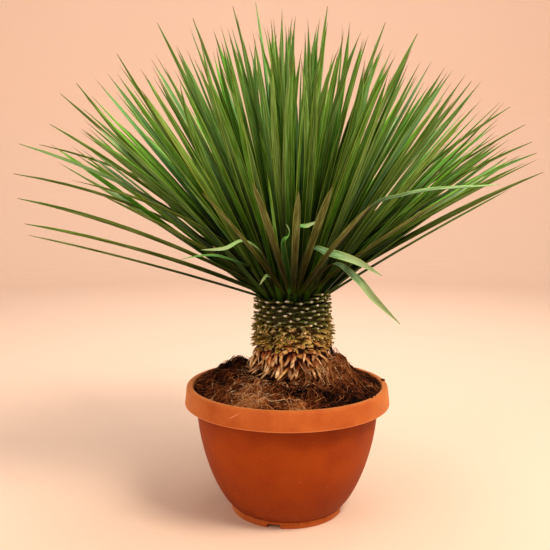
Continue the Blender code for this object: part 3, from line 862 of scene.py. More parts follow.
for i in range(PALE_ROOT_COUNT):
    angle = math.radians(chance.uniform(150, 275))
    x, y = STEM_X + PALE_ROOT_START * math.cos(angle), PALE_ROOT_START * math.sin(angle)
    heading, length = angle + chance.gauss(0, 0.5), chance.uniform(0.014, 0.040)
    path = wandering(chance, x, y, heading, length, 5, 0.3, 0.003)
    thread(fibres, path, chance.uniform(0.0007, 0.0012), chance.uniform(0.75, 1.0))
lone_root = [Vector((x, y, soil_top(x, y) + 0.003)) for x, y in LONE_ROOT]
path = [smooth_path(lone_root, k / LONE_ROOT_STEPS) for k in range(LONE_ROOT_STEPS + 1)]
thread(fibres, path, 0.0015, 1.0, 5)
clump = polar(CLUMP_RADIUS, CLUMP_ANGLE, 0)
for i in range(CLUMP_ROOT_COUNT):
    x, y = chance.gauss(clump.x, 0.026), chance.gauss(clump.y, 0.030)
    if math.hypot(x - STEM_X, y) < CLUMP_CLEAR_OF_STEM or math.hypot(x, y) > CLUMP_LIMIT:
        continue
    heading, length = math.atan2(y, x - STEM_X) + chance.gauss(0, 0.9), chance.uniform(0.012, 0.040)
    path = wandering(chance, x, y, heading, length, 5, 0.25, chance.uniform(0, 0.005))
    far = held(0, (math.hypot(x - STEM_X, y) - 0.095) / 0.045, 1)
    tone = held(0.02, chance.gauss(0.52 - 0.42 * far, 0.17), 0.95)
    thread(fibres, path, chance.uniform(0.0006, 0.0011), tone)
print("with the roots: points", len(fibres.points))

# %% Hanging roots and the dead stub
HANGING_ROOT_COUNT = 330
HANGING_STEPS = 8
DEAD_STUB = (
    (0.0835, -0.018, 0.323),
    (0.0850, -0.020, 0.312),
    (0.0880, -0.022, 0.300),
    (0.0900, -0.024, 0.292),
)
STUB_SPLIT = 0.004

for i in range(HANGING_ROOT_COUNT):
    angle = math.radians(chance.gauss(-16, 24))
    start = polar(chance.uniform(0.079, 0.088), angle, chance.uniform(0.268, 0.303), STEM_X)
    end = polar(chance.uniform(0.090, 0.114), angle + chance.gauss(0, 0.42), 0, STEM_X)
    end.z = soil_top(end.x, end.y)
    middle = start.lerp(end, 0.5) + Vector((0, 0, chance.uniform(-0.004, 0.007)))
    points = [smooth_path([start, middle, end], k / HANGING_STEPS) for k in range(HANGING_STEPS + 1)]
    curl = Vector((chance.gauss(0, 0.005), chance.gauss(0, 0.005), chance.gauss(0, 0.004)))
    for k, point in enumerate(points):
        point += curl * math.sin(k * 1.3) + Vector((chance.gauss(0, 0.001), chance.gauss(0, 0.001), 0))
        point.z = max(point.z, soil_top(point.x, point.y) + 0.0008)
    thread(fibres, points, chance.uniform(0.0006, 0.0012), held(0.1, chance.gauss(0.55, 0.2), 1.0))
for split in (0, STUB_SPLIT):
    points = [Vector(place) + Vector((split * k / 3, 0, -split)) for k, place in enumerate(DEAD_STUB)]
    thread(fibres, points, 0.0055, 0.0, 5)
crumbs.make("soil_crumbs", husk, "potting_soil", sharp=30)
fibres.make("coir_fibres", husk, "potting_soil")

# %% [markdown]
# ## Trunk
#
# The trunk grew as a stack of leaf bases, and the gardener trimmed the leaves off it row by row. What is
# left of each is a ledge that clasps the stem and ends in a pale cut face. Every ledge is a loft of
# lens-shaped sections from the stem outwards. Relief in the material alone would be quicker, but would
# leave the trunk's outline straight. The rows are staggered like bricks.

# %% Trunk sizes
SKIRT_TOP = 0.320
STUB_ROWS = 10
STUB_ROW_PITCH = 0.0088
STUBS_PER_ROW = 21
STUB_DRIFT = -0.14
STEM_TOP = SKIRT_TOP + (STUB_ROWS - 1) * STUB_ROW_PITCH
STUB_REACH = 0.0118
STUB_SEED = 3
TRUNK_STEPS = 84
print("stem from", STEM_BOTTOM, "to", round(STEM_TOP, 4), "m")

# %% [markdown]
# ### Cut leaf bases
#
# A trimmed leaf base is a woody fibre in a waxy skin, still green near the top of the trunk and dried to
# yellow and brown lower down. Towards the trunk's left and right sides, as seen from the front, the colour
# is drawn more yellow-green, which is painted light on those sides. Height picks the colour, a number for
# each base shifts it, and noise of 3.2 mm mottles it with rust. The cut face and the papery edge are pale,
# since they show dry fibre, and the part next to the stem is painted dark, as shade between the rows. A
# picture of bark would repeat round the trunk, and noise never does.

# %% Cut leaf base finish
BROWN_MIDDLE = STEM_X + 0.010
MOTTLE = 0.0032

bark = new_finish("trimmed_leaf_base", Roughness=0.62, Specular_IOR_Level=0.2)
place = add(bark, "TexCoord", get="Object")
tone, cut_face, out_share, edge = (
    add(bark, "Attribute", attribute_name=mark, get="Fac") for mark in ("tone", "cut_face", "out", "edge")
)
height = add(bark, "SeparateXYZ", (place,), get="Z")
rise = add(bark, "MapRange", (height, SKIRT_TOP - 0.002, STEM_TOP))
shift = add(bark, "MapRange", (tone, 0, 1, -0.22, 0.22))
age = add(bark, "Math", (rise, shift), operation="ADD")
browns = ((0.0, "B8783A"), (0.12, "A89C34"), (0.24, "B48A4E"))
greens = ((0.40, "948436"), (0.58, "5C6420"), (0.95, "38500F"))
colour = add(bark, "ValToRGB", (age,), stops=browns + greens)
# Painted light: the trunk's left and right sides, as seen from the front, are drawn more yellow-green.
sideways = add(bark, "SeparateXYZ", (place,), get="X")
aside = add(bark, "Math", (sideways, BROWN_MIDDLE), operation="SUBTRACT")
aside = add(bark, "Math", (aside,), operation="ABSOLUTE")
painted_side_light = add(bark, "MapRange", (aside, 0.028, 0.072, 0, 0.7))
colour = add(bark, "MixRGB", (painted_side_light, colour, "75721C"))
# Painted shade next to the stem, in the gaps between the rows.
inner_shade = add(bark, "MapRange", (out_share, 0.15, 0.75, 0.24, 1.05))
colour = add(bark, "VectorMath", {0: colour, "Scale": inner_shade}, operation="SCALE")
mottle = add(bark, "TexNoise", {"Vector": place, "Scale": 1 / MOTTLE, "Detail": 4})
rust = add(bark, "MapRange", (mottle, 0.5, 0.36, 0, 0.6))
cut_stops = ((0.0, "E0BC8C"), (0.35, "DCC4A0"), (0.6, "B4AE9C"), (1.0, "A8A498"))
cut_colour = add(bark, "ValToRGB", (age,), stops=cut_stops)
dried = add(bark, "MapRange", (age, 0.65, 0.3, 0.35, 0.75))
papery = add(bark, "MapRange", (edge, 0.72, 0.98, 0, dried))
for mask, over in ((rust, "5A2A0E"), (papery, cut_colour), (cut_face, cut_colour)):
    colour = add(bark, "MixRGB", (mask, colour, over))
roughen(bark, colour, mottle, (0.32, 0.68, 0.4, 1.65), 0.6, 0.0012)
print("colours by height:", len(browns + greens))

# %% Trunk mesh
STUB_FOOT_RADIUS = 0.050
ROUGH_FROM = 0.255
ROUGH_RINGS = 40
ROUGH_WAVES = 180

core = Gatherer()
foot_height = STEM_BOTTOM + 0.001
core_rings = [circle(0, foot_height, 1, STEM_X)]
core_rings.append(circle(STUB_FOOT_RADIUS, foot_height, TRUNK_STEPS, STEM_X))
core_rings.append(circle(STEM_RADIUS - 0.003, STEM_BOTTOM + 0.045, TRUNK_STEPS, STEM_X))
for k in range(ROUGH_RINGS):
    height = ROUGH_FROM + (STEM_TOP - ROUGH_FROM) * k / (ROUGH_RINGS - 1)
    ring = circle(STEM_RADIUS - 0.0015, height, TRUNK_STEPS, STEM_X)
    for point in ring:
        point += (point - Vector((STEM_X, 0, height))) * 0.03 * noise.noise(point * ROUGH_WAVES)
    core_rings.append(ring)
core_rings.append(circle(0, STEM_TOP, 1, STEM_X))
# An out share of 0 has the finish paint the stem dark, as shade between the ledges.
core.loft(core_rings, tone=0.3, out=0.0, cut_face=0.0, edge=0.0)
stem = core.make("stem", bark, "cut_leaf_bases")
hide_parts("trunk")

# %% One leaf base
LENS_EDGE = [1, 0.2, 0, 0.2, 1, 0.2, 0, 0.2]


def lens_ring(middle, side, up, width, above, below):
    """A lens-shaped section with pointed ends, eight points round."""
    ring = []
    for across in (-1, -0.55, 0, 0.55):
        ring.append(middle + side * width / 2 * across + up * above * (1 - across**2))
    for across in (1, 0.55, 0, -0.55):
        ring.append(middle + side * width / 2 * across - up * below * (1 - across**2))
    return ring


def leaf_base(gatherer, angle, height, chance, dry, start_radius=STEM_RADIUS - 0.006, size=1.0):
    """One trimmed leaf base. Dry goes from 0, trimmed clean and stiff, to 1, where they hang and split."""
    out = polar(1, angle, 0)
    side = polar(1, angle + math.pi / 2, 0)
    tilt = chance.uniform(0.02, 0.36) - dry * chance.uniform(0, 0.95)
    along = (out + Vector((0, 0, tilt))).normalized()
    roll = chance.gauss(0, 0.42) * dry
    side = side * math.cos(roll) + along.cross(side) * math.sin(roll)
    up = along.cross(side)
    reach = STUB_REACH + 0.0055 + dry * chance.uniform(-0.003, 0.0035)
    start = Vector((STEM_X, 0, height)) + out * start_radius
    swing = side * chance.gauss(0, 0.0010 + 0.0042 * dry)
    end_width = chance.uniform(0.0060, 0.0100) * (1 - 0.45 * dry * chance.random())
    flap = size * chance.uniform(0.88, 1.04) * (1 + dry * chance.uniform(-0.5, 0.25))
    sections = (
        # share of its reach, width, thickness above and below, and how pale the cut face is there
        (0, 0.0238, 0.0026, 0.0038, 0),
        (0.45, 0.0205, 0.0022, 0.0032, 0),
        (0.75, 0.0142, 0.0019, 0.0027, 0),
        (0.94, end_width * 1.12, 0.0017, 0.0025, 0),
        (1, end_width, 0.0017, 0.0024, 0.15),
        (1, end_width, 0.0017, 0.0024, (1 - 0.4 * dry) * chance.uniform(0.6, 1)),
    )
    rings = []
    for share, width, above, below, _ in sections:
        middle = start + along * reach * share + swing * share**2
        rings.append(lens_ring(middle, side, up, width * flap, above * size, below * size))
    shares, *_, paleness = zip(*sections)
    edges = [[0] * len(LENS_EDGE)] + [LENS_EDGE] * (len(sections) - 1)
    gatherer.loft(rings, tone=chance.random(), out=shares, cut_face=paleness, edge=edges)


# %% Rows of leaf bases
ORDERLY_FROM = 5.5
GREEN_ROWS = (0.4105, 0.4180)
SPIKE_COUNT = 60
SPLIT_COUNT = 360
SPIKE_HALF_WIDTH = 0.0011
SPIKE_HEIGHT = 0.0014

chance = random.Random(STUB_SEED)
bases = Gatherer()
for row in range(-1, STUB_ROWS):
    dry = held(0, 1 - row / ORDERLY_FROM, 1)
    for i in range(STUBS_PER_ROW):
        turn = i + ((row + 1) % 2) / 2 + row * STUB_DRIFT / 2
        angle = math.tau * turn / STUBS_PER_ROW + chance.gauss(0, 0.012 + 0.05 * dry)
        height = SKIRT_TOP + (row + 0.55) * STUB_ROW_PITCH + chance.gauss(0, 0.0010 + 0.0020 * dry)
        leaf_base(bases, angle, height, chance, dry)
for k, height in enumerate(GREEN_ROWS):
    for i in range(-3, 4):
        angle = math.tau * (i + k / 2) / STUBS_PER_ROW
        leaf_base(bases, angle, height, chance, 0, STEM_RADIUS - 0.008)
for i in range(SPLIT_COUNT):
    height = SKIRT_TOP + chance.uniform(-0.004, 0.046)
    angle, size = chance.uniform(0, math.tau), chance.uniform(0.28, 0.60)
    leaf_base(bases, angle, height, chance, 1, STEM_RADIUS - 0.002, size)
for i in range(SPIKE_COUNT):
    angle = chance.uniform(0, math.tau)
    height = chance.uniform(SKIRT_TOP - 0.002, SKIRT_TOP + 0.042)
    root = polar(STEM_RADIUS, angle, height, STEM_X)
    tip = polar(STEM_RADIUS + chance.uniform(0.012, 0.023), angle + chance.gauss(0, 0.10), height, STEM_X)
    tip.z += chance.uniform(-0.006, 0.005)
    side = polar(SPIKE_HALF_WIDTH, angle + math.pi / 2, 0)
    rings = [[root - side, root + Vector((0, 0, SPIKE_HEIGHT)), root + side], [tip]]
    bases.loft(rings, tone=chance.random(), out=(0.3, 1), cut_face=(0, 0.3), edge=0.0)
bases.make("trimmed_leaf_bases", bark, "cut_leaf_bases", sharp=40)

# %% [markdown]
# ## Dead leaf bases
#
# Under the trimmed rows the oldest leaf bases are dry and bent down over the soil like a skirt. They are
# fleshy strips, round on top, straw-coloured at the end and rusty where they grew. A short plain sleeve
# under them carries them, and five tiers of strips lie over each other. A cloth simulation could drape
# them, but a bowed strip with its own bend, twist and drift looks as dry and takes no time.

# %% Dead leaf base finish
STRAW_BLOTCH = 0.005

straw = new_finish("dry_leaf_straw", Roughness=0.7, Specular_IOR_Level=0.2)
place = add(straw, "TexCoord", get="Object")
tone, along = (add(straw, "Attribute", attribute_name=mark, get="Fac") for mark in ("tone", "along"))
# Along a strip: near black at the very root, which is painted shade under the tier above, then rusty, then
# straw.
stops = ((0.0, "3A1204"), (0.2, "A24E1C"), (0.42, "CC965C"), (0.75, "F2D2A6"), (1.0, "C09466"))
colour = add(straw, "ValToRGB", (along,), stops=stops)
own_stops = ((0.0, "6A3E22"), (0.3, "DABEA2"), (0.6, "FFFFFF"), (0.85, "F0E0B0"), (1.0, "D08A48"))
own = add(straw, "ValToRGB", (tone,), stops=own_stops)
colour = add(straw, "MixRGB", (0.85, colour, own), blend_type="MULTIPLY")
mottle = add(straw, "TexNoise", {"Vector": place, "Scale": 1 / STRAW_BLOTCH, "Detail": 4})
roughen(straw, colour, mottle, (0.35, 0.7, 0.55, 1.25), 0.5, 0.001)
print("colours along a strip:", len(stops))

# %% One dead leaf base
STRIP_TURNS = [math.tau * i / 6 for i in range(6)]


def strip(gatherer, root, tip, side, width, thickness, chance):
    """A dead leaf base: a bowed strip with a round back and a blunt, ragged end."""
    run = tip - root
    out = side.cross(run).normalized()
    if out.z < 0:
        out.negate()
    bow = chance.uniform(-0.12, 0.18) * run.length
    twist = chance.uniform(-0.6, 0.6)
    drift = side * chance.gauss(0, 0.005)
    rings = []
    shares = (0, 0.2, 0.4, 0.6, 0.8, 0.93, 1)
    blunt = (1, 1, 1, 1, 1, 0.8, 0.35)
    for share, left in zip(shares, blunt):
        middle = root + run * share + out * bow * math.sin(math.pi * share) + drift * share**2
        across = side * math.cos(twist * share) + out * math.sin(twist * share)
        above = out * math.cos(twist * share) - side * math.sin(twist * share)
        wide = width * (1 - 0.35 * share) * left
        thick = thickness * (1 - 0.45 * share)
        turned = ((math.cos(a), math.sin(a)) for a in STRIP_TURNS)
        rings.append([middle + across * wide / 2 * x + above * thick * y for x, y in turned])
    gatherer.loft(rings, along=shares, tone=chance.random())


# %% Tiers of dead leaf bases
SLEEVE_RADIUS = 0.0705
SLEEVE_INSIDE = 0.064
SLEEVE_BOTTOM = 0.290
CLUMP_HALF_ANGLE = 0.42
STRIP_ROOT_RADIUS = 0.0680
STRIP_SEED = 5
STRIP_TIERS = (
    # root's height, tip's radius and height, strips in the tier
    (0.3130, 0.0880, 0.2980, 34),
    (0.3080, 0.0935, 0.2880, 36),
    (0.3010, 0.0985, 0.2790, 36),
    (0.2930, 0.1020, 0.2710, 34),
    (0.2850, 0.1030, 0.2680, 30),
)
TIER_TURN = 0.37
SLIMMER_SIDES = 0.010


def by_clump(angle):
    """Whether the fibrous clump covers the dead bases at this angle."""
    return abs((angle - CLUMP_ANGLE + math.pi) % math.tau - math.pi) < CLUMP_HALF_ANGLE


chance = random.Random(STRIP_SEED)
skirt = Gatherer()
for tier, (root_height, tip_radius, tip_height, count) in enumerate(STRIP_TIERS):
    for i in range(count):
        angle = math.tau * (i + tier * TIER_TURN) / count + chance.gauss(0, 0.04)
        turn = chance.gauss(0, 0.09)
        longer = chance.uniform(-0.007, 0.004) - SLIMMER_SIDES * abs(math.cos(angle))
        if by_clump(angle) and tier > 0:
            continue
        root = polar(STRIP_ROOT_RADIUS, angle, root_height + chance.gauss(0, 0.0018), STEM_X)
        tip = polar(tip_radius + longer, angle + turn, tip_height + chance.gauss(0, 0.002), STEM_X)
        tip.z = max(tip.z, soil_mound(tip.x, tip.y) + 0.001)
        side = polar(1, angle + math.pi / 2, 0)
        width, thickness = chance.uniform(0.0040, 0.0092), chance.uniform(0.0012, 0.0024)
        strip(skirt, root, tip, side, width, thickness, chance)
sleeve = [(SLEEVE_INSIDE, SLEEVE_BOTTOM), (SLEEVE_RADIUS, SLEEVE_BOTTOM)]
sleeve += [(SLEEVE_RADIUS - 0.001, SKIRT_TOP), (SLEEVE_INSIDE, SKIRT_TOP)]
# The sleeve takes the strips' root colour, near black: painted shade in the gaps between them.
skirt.loft([circle(*corner, TRUNK_STEPS, STEM_X) for corner in sleeve], along=0.0, tone=0.2)
dead_bases = skirt.make("dead_leaf_bases", straw, "dry_leaf_bases", sharp=60)
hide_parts("dry_leaf_skirt")

# %% [markdown]
# ## Leaves
#
# A yucca leaf is a flat, stiff blade up to 600 mm long and 12 mm wide, with a shallow channel above, a
# weak keel below, a thin yellow margin and a brown needle at its tip. A path for each leaf and one section
# shape are all that it takes. A flat card with a leaf painted on it would be lighter, but its edge
# vanishes from the side, and this head is seen from every side.

# %% Leaf section
LEAF_WIDTH = 0.0116
LEAF_ROOT_WIDTH = 0.0085
LEAF_THICKNESS = 0.0014
LEAF_ROOT_THICKNESS = 0.0030
WIDEST_AT = 0.68
NEEDLE_SHARE = 0.035
CHANNEL_DEPTH = 0.0020
ACROSS = (-1, -0.5, 0, 0.5, 1, 0.5, 0, -0.5)
IS_UNDER = (0, 0, 0, 0, 1, 1, 1, 1)


def leaf_width(share, root_width):
    """Narrow at the root, widest at a fixed share of the length, then a long taper to the needle."""
    if share < WIDEST_AT:
        return root_width + (LEAF_WIDTH - root_width) * math.sin(share / WIDEST_AT * math.pi / 2)
    taper = math.cos((share - WIDEST_AT) / (1 - WIDEST_AT) * math.pi / 2)
    return max(LEAF_WIDTH * max(taper, 0) ** 0.565, 0.0010)


def leaf_ring(middle, across, up, width, thickness, channel):
    """A section of a leaf: edges, channel above and keel below."""
    ring = []
    for k, place in enumerate(ACROSS):
        height = channel * place**2 if k < 5 else channel * place**2 - thickness * (1 - abs(place) ** 1.5)
        ring.append(middle + across * width / 2 * place + up * height)
    return ring


# %% One leaf
# Sections lie closer together near the root, and the last one is just short of the tip.
LEAF_SHARES = [(k / 13.06) ** 1.1 for k in range(14)]
SLOPE_STEP = 0.01
INSIDE_BY = 0.004


def in_box(point):
    """Whether a point lies well inside the box of the solids."""
    low, high = cad_box
    return all(low[k] + INSIDE_BY < point[k] < high[k] - INSIDE_BY for k in range(3))


def blade(gatherer, path, side, roll, twist, root_width=LEAF_ROOT_WIDTH, needle=NEEDLE_SHARE, **values):
    """A leaf along a path, which gives a point for a share of the length, turned about its own length."""
    rings = []
    for share in LEAF_SHARES:
        along = (path(min(share + SLOPE_STEP, 1)) - path(max(share - SLOPE_STEP, 0))).normalized()
        across = (side - along * side.dot(along)).normalized()
        up = across.cross(along)
        turn = roll + twist * share
        flat = across * math.cos(turn) + up * math.sin(turn)
        above = up * math.cos(turn) - across * math.sin(turn)
        thinner = (LEAF_THICKNESS - LEAF_ROOT_THICKNESS) * min(share / WIDEST_AT, 1)
        thickness = LEAF_ROOT_THICKNESS + thinner
        width = leaf_width(share, root_width)
        slim = min(1, width / LEAF_WIDTH + 0.1)
        rings.append(leaf_ring(path(share), flat, above, width, thickness * slim, CHANNEL_DEPTH * slim))
    point = path(1 + needle)
    rings.append([point if in_box(point) else path(1)])
    marks = [list(ACROSS)] * len(LEAF_SHARES) + [[0]]
    gatherer.loft(rings, {"under": IS_UNDER}, along=LEAF_SHARES + [1], across=marks, **values)


# %% Paths from the crown
CROWN_CENTRE = Vector((STEM_X, 0, 0.390))
LEAF_ROOT = 0.055
LOWEST_ROOT = math.radians(14.5)
LOWEST_LEAF = math.radians(33)
FRONT_LIFT = math.radians(28)
FRONT_LIFT_POWER = 1.15


def direction(angle, rise):
    return Vector((math.cos(angle) * math.cos(rise), math.sin(angle) * math.cos(rise), math.sin(rise)))


def arched(angle, root_rise, rise, length, sag, lean=0.0, swing=0.0, curl=0.0):
    """The path of a leaf from the crown, which heads off at its own rise and bows down and aside."""
    side = Vector((math.sin(angle), -math.cos(angle), 0))
    heading = (direction(angle, rise) + side * swing).normalized()
    reach = length - LEAF_ROOT
    bow = side * lean - side.cross(heading) * sag
    root = CROWN_CENTRE + direction(angle, root_rise) * LEAF_ROOT

    def path(share):
        return root + heading * reach * share + bow * reach * share**2 + side * curl * share**5

    return path, side


def rises(share, angle):
    """A spiral leaf's rise at its root and of its heading. Those in front stand steeper."""
    lowest = math.sin(LOWEST_ROOT)
    root_rise = math.asin(lowest + (1 - lowest) * share)
    rise = LOWEST_LEAF + FRONT_LIFT * max(0, -math.sin(angle)) ** FRONT_LIFT_POWER
    up_share = (root_rise - LOWEST_ROOT) / (math.pi / 2 - LOWEST_ROOT)
    return root_rise, rise + (math.pi / 2 - rise) * up_share


# %% [markdown]
# ### Leaf skin
#
# The leaf's skin is a waxy cuticle over tough fibre, with a soft shine, so the roughness is about 0.5.
# Each leaf has its own green. The face below is darker and more olive, partly its own colour and partly
# painted shade, as it faces down, and on the leaves in front and round the head's outline it is painted
# brown, as shade and warm light from below. The lines along it are the fibres. Real fibres are 0.4 mm
# apart; they are drawn 1.5 mm apart, or they would not show. The outer part is painted brighter, as it
# stands in the light, and is greyer and waxier; the root of each leaf and the heart of the head are painted
# dark, as shade; the margins are yellow, and the needle is brown. All of that is drawn by where a point
# lies along and across its leaf. A leaf picture would need unwrapping, and these two numbers do it for
# all.

# %% Leaf finish
FIBRE_LINES = 4
BROKEN_LINES = 9
LEAF_SPREAD = 97
GREENS = (
    (0.0, "122E00"),
    (0.22, "225000"),
    (0.42, "387004"),
    (0.62, "3A6634"),
    (0.82, "587452"),
    (1.0, "6E8E2A"),
)

living = new_finish("waxy_yucca_leaf", Roughness=0.5, Specular_IOR_Level=0.06)
along, across, tone, under, brown, pale, inner = (
    add(living, "Attribute", attribute_name=mark, get="Fac")
    for mark in ("along", "across", "tone", "under", "brown", "pale", "inner")
)
colour = add(living, "ValToRGB", (tone,), stops=GREENS)
# The face below is darker and more olive, partly its own colour and partly painted shade; the brown number
# paints it browner still, as shade and warm light from below.
olive_and_shade = add(living, "Math", (under, 0.7), operation="MULTIPLY")
shaded_underside = add(living, "Math", (under, brown), operation="MULTIPLY")
for mask, over in ((olive_and_shade, "244202"), (shaded_underside, "2E2804")):
    colour = add(living, "MixRGB", (mask, colour, over))

# %% Leaf finish: fibre lines and light
lines_at = add(living, "Math", (across, FIBRE_LINES), operation="MULTIPLY")
length_at = add(living, "Math", (along, BROKEN_LINES), operation="MULTIPLY")
leaf_at = add(living, "Math", (tone, LEAF_SPREAD), operation="MULTIPLY")
on_leaf = add(living, "CombineXYZ", (lines_at, length_at, leaf_at))
lines = add(living, "TexNoise", {"Vector": on_leaf, "Scale": 1, "Detail": 3})
line_shade = add(living, "MapRange", (lines, 0.3, 0.7, 0.32, 1.6))
sunlit = add(living, "MapRange", (along, 0.34, 0.88, 0.60, 3.5))
for shade in (line_shade, sunlit):
    colour = add(living, "VectorMath", {0: colour, "Scale": shade}, operation="SCALE")

# %% Leaf finish: wax, heart, margins and needle
outwards = add(living, "MapRange", (along, 0.42, 0.86, 0.03, 1))
greyed = add(living, "Math", (outwards, 0.2), operation="MULTIPLY")
waxy = add(living, "MapRange", (lines, 0.46, 0.72, 0, 0.42))
wax = add(living, "Math", (waxy, outwards), operation="MULTIPLY")
# Painted shade: the root of every leaf, and more so in the heart of the head.
root_shade = add(living, "MapRange", (along, 0.16, 0.0, 0, 0.6))
in_heart = add(living, "MapRange", (along, 0.26, 0.08))
heart_shade = add(living, "Math", (in_heart, inner), operation="MULTIPLY")
off_middle = add(living, "Math", (across,), operation="ABSOLUTE")
at_edge = add(living, "MapRange", (off_middle, 0.80, 0.95, 0, 0.55))
plain = add(living, "Math", (shaded_underside, 0.85), operation="MULTIPLY")
at_edge = add(living, "MixRGB", (plain, at_edge, (0, 0, 0, 1)))
past_root = add(living, "MapRange", (along, 0.16, 0.6, 0.1, 1))
margin = add(living, "Math", (at_edge, past_root), operation="MULTIPLY")
at_tip = add(living, "MapRange", (along, 0.97, 1.0))
layers = [(greyed, "6A7A4C"), (wax, "A4B890"), (root_shade, "2E4A0A"), (heart_shade, "161E05")]
layers += [(pale, "90AA7A"), (margin, "A6C650"), (at_tip, "6A5A2C")]
for mask, over in layers:
    colour = add(living, "MixRGB", (mask, colour, over))
bump = add(living, "Bump", {"Height": lines, "Strength": 0.35, "Distance": 0.0008})
connect(living, Base_Color=colour, Normal=bump)
print("layers on the leaf's green:", len(layers))

# %% [markdown]
# ### The spiral
#
# The plant sets its leaves by the golden angle, each one 137.5 degrees on from the last and a little
# higher, which is how the loop below places them. Seeded random numbers then change each leaf's length,
# bow and turn, and a slow wave gathers them in tufts. Scattering them at random would leave holes and
# clots, which a spiral never has. The leaves that make the head's outline, and those in front, follow with
# numbers of their own.

# %% Leaves of the outline and the front
EDGE_LEAVES = (
    # direction from above and rise in degrees, length, sag,
    # turn at the root and on to the tip, tone, paleness
    (186, 41.5, 0.573, 0.310, -0.30, -0.20, 0.10, 0.0),
    (184, 30.0, 0.568, 0.160, -0.50, -0.25, 0.20, 0.0),
    (188, 23.7, 0.534, 0.113, -0.35, -0.30, 0.42, 0.0),
    (183, 17.6, 0.532, 0.043, -0.20, -0.05, 0.08, 0.0),
    (192, 44.0, 0.587, 0.250, -0.10, 0.95, 0.05, 0.3),
    (178, 53.0, 0.563, 0.420, -0.20, -0.15, 0.05, 0.0),
    (190, 42.4, 0.578, 0.100, -0.40, -0.20, 0.40, 0.0),
    (185, 43.5, 0.612, 0.016, -0.60, 0.00, 0.15, 0.0),
    (195, 39.6, 0.587, -0.120, -0.80, 0.20, 0.30, 0.0),
    (200, 49.6, 0.583, -0.090, -0.45, 0.20, 0.12, 0.0),
    (201, 63.8, 0.600, 0.010, -0.50, 0.10, 0.50, 0.0),
    (190, 71.2, 0.595, 0.010, -0.70, 0.20, 0.22, 0.0),
    (182, 81.3, 0.604, 0.050, -0.60, 0.10, 0.35, 0.0),
    (180, 84.1, 0.606, 0.020, 0.30, 0.20, 0.60, 0.0),
    (330, 82.5, 0.588, 0.000, 0.10, 0.30, 0.45, 0.0),
    (340, 72.8, 0.576, 0.030, 0.50, 0.00, 0.18, 0.0),
    (345, 66.7, 0.578, 0.030, 0.70, 0.20, 0.40, 0.0),
    (350, 50.2, 0.554, -0.030, 0.55, -0.10, 0.15, 0.0),
    (355, 51.5, 0.567, 0.170, 0.40, 0.10, 0.55, 0.0),
    (4, 45.7, 0.591, 0.160, 0.35, 0.00, 0.30, 0.0),
    (357, 44.9, 0.558, 0.200, 0.60, 0.00, 0.12, 0.0),
    (5, 41.1, 0.580, 0.190, -0.55, -0.20, 0.05, 0.1),
    (352, 33.1, 0.542, 0.083, 2.50, -2.10, 0.00, 0.0),
    (90, 33.0, 0.562, 0.000, 0.00, 0.20, 0.50, 0.0),
)
FRONT_LEAVES = (
    # as above
    (252, 29, 0.490, 0.05, 0.25, 0.10, 0.15, 0.0),
    (262, 29, 0.520, 0.05, -0.15, 0.20, 0.05, 0.0),
    (269.5, 27.5, 0.520, 0.05, 0.10, -0.30, 0.20, 0.0),
    (275, 28.5, 0.515, 0.05, 0.30, -0.10, 0.10, 0.0),
    (281, 26, 0.520, 0.06, -0.20, 0.10, 0.05, 0.0),
    (298, 28, 0.500, 0.05, -0.30, 0.10, 0.25, 0.0),
)


def chosen_leaf(gatherer, row, brown, **values):
    """A leaf whose numbers are chosen: it heads straight out from its root."""
    degrees, rise, length, sag, roll, twist, tone, pale = row
    rise = math.radians(rise)
    path, side = arched(math.radians(degrees), rise, rise, length, sag)
    blade(gatherer, path, side, roll, twist, tone=tone, brown=brown, pale=pale, inner=0.0, **values)


# %% Spiral of leaves
LEAF_COUNT = 310
LEAF_LENGTH = 0.545
LENGTH_CHANGES = (-0.105, 0.020)
LONGER_LEFT = 0.020
MOST_SAG = 0.07
USUAL_LEAN = 0.030
USUAL_SWING = 0.058
USUAL_CURL = 0.014
TUFT_COUNT = 11
TUFT_PULL = 0.049
OUTER_ROOT_WIDTH = 0.0125
OUTER_COUNT = 18
GOLDEN_ANGLE = math.pi * (3 - math.sqrt(5))
LEAF_SEED = 162
TWIST_SEED = 12


def random_turns(chance):
    """How a leaf is turned about its length at its root, and how much more at its tip, in radians."""
    return chance.gauss(0, 0.50), chance.gauss(0, 0.6)


chance = random.Random(LEAF_SEED)
turns = random.Random(TWIST_SEED)
leaves = Gatherer()
for i in range(LEAF_COUNT):
    angle = i * GOLDEN_ANGLE
    root_rise, rise = rises((i + 0.5) / LEAF_COUNT, angle)
    length = LEAF_LENGTH * (1 + chance.uniform(*LENGTH_CHANGES))
    length *= 1 - LONGER_LEFT * math.cos(angle)
    sag = chance.uniform(0, MOST_SAG) * math.cos(rise)
    lean = chance.gauss(0, USUAL_LEAN)
    swing = chance.gauss(0, USUAL_SWING) + TUFT_PULL * math.sin(TUFT_COUNT * angle)
    path, side = arched(angle, root_rise, rise, length, sag, lean, swing, turns.gauss(0, USUAL_CURL))
    if not in_box(path(1)):
        path, side = arched(angle, root_rise, rise, length, sag, lean, swing)
    roll, twist = random_turns(turns)
    root_width = OUTER_ROOT_WIDTH if i < OUTER_COUNT else LEAF_ROOT_WIDTH
    shaded = held(0, (i - OUTER_COUNT) / 8, 1)
    values = {"tone": turns.random(), "brown": 0.0, "pale": 0.0, "inner": shaded}
    blade(leaves, path, side, roll, twist, root_width, **values)
# The brown number paints the undersides of these leaves browner, as shade and warm light from below.
for rows_of_leaves, brown in ((EDGE_LEAVES, 0.35), (FRONT_LEAVES, 0.8)):
    for row in rows_of_leaves:
        chosen_leaf(leaves, row, brown, needle=0)
head = leaves.make("yucca_leaves", living, "yucca_leaf")
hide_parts("leaf_head")

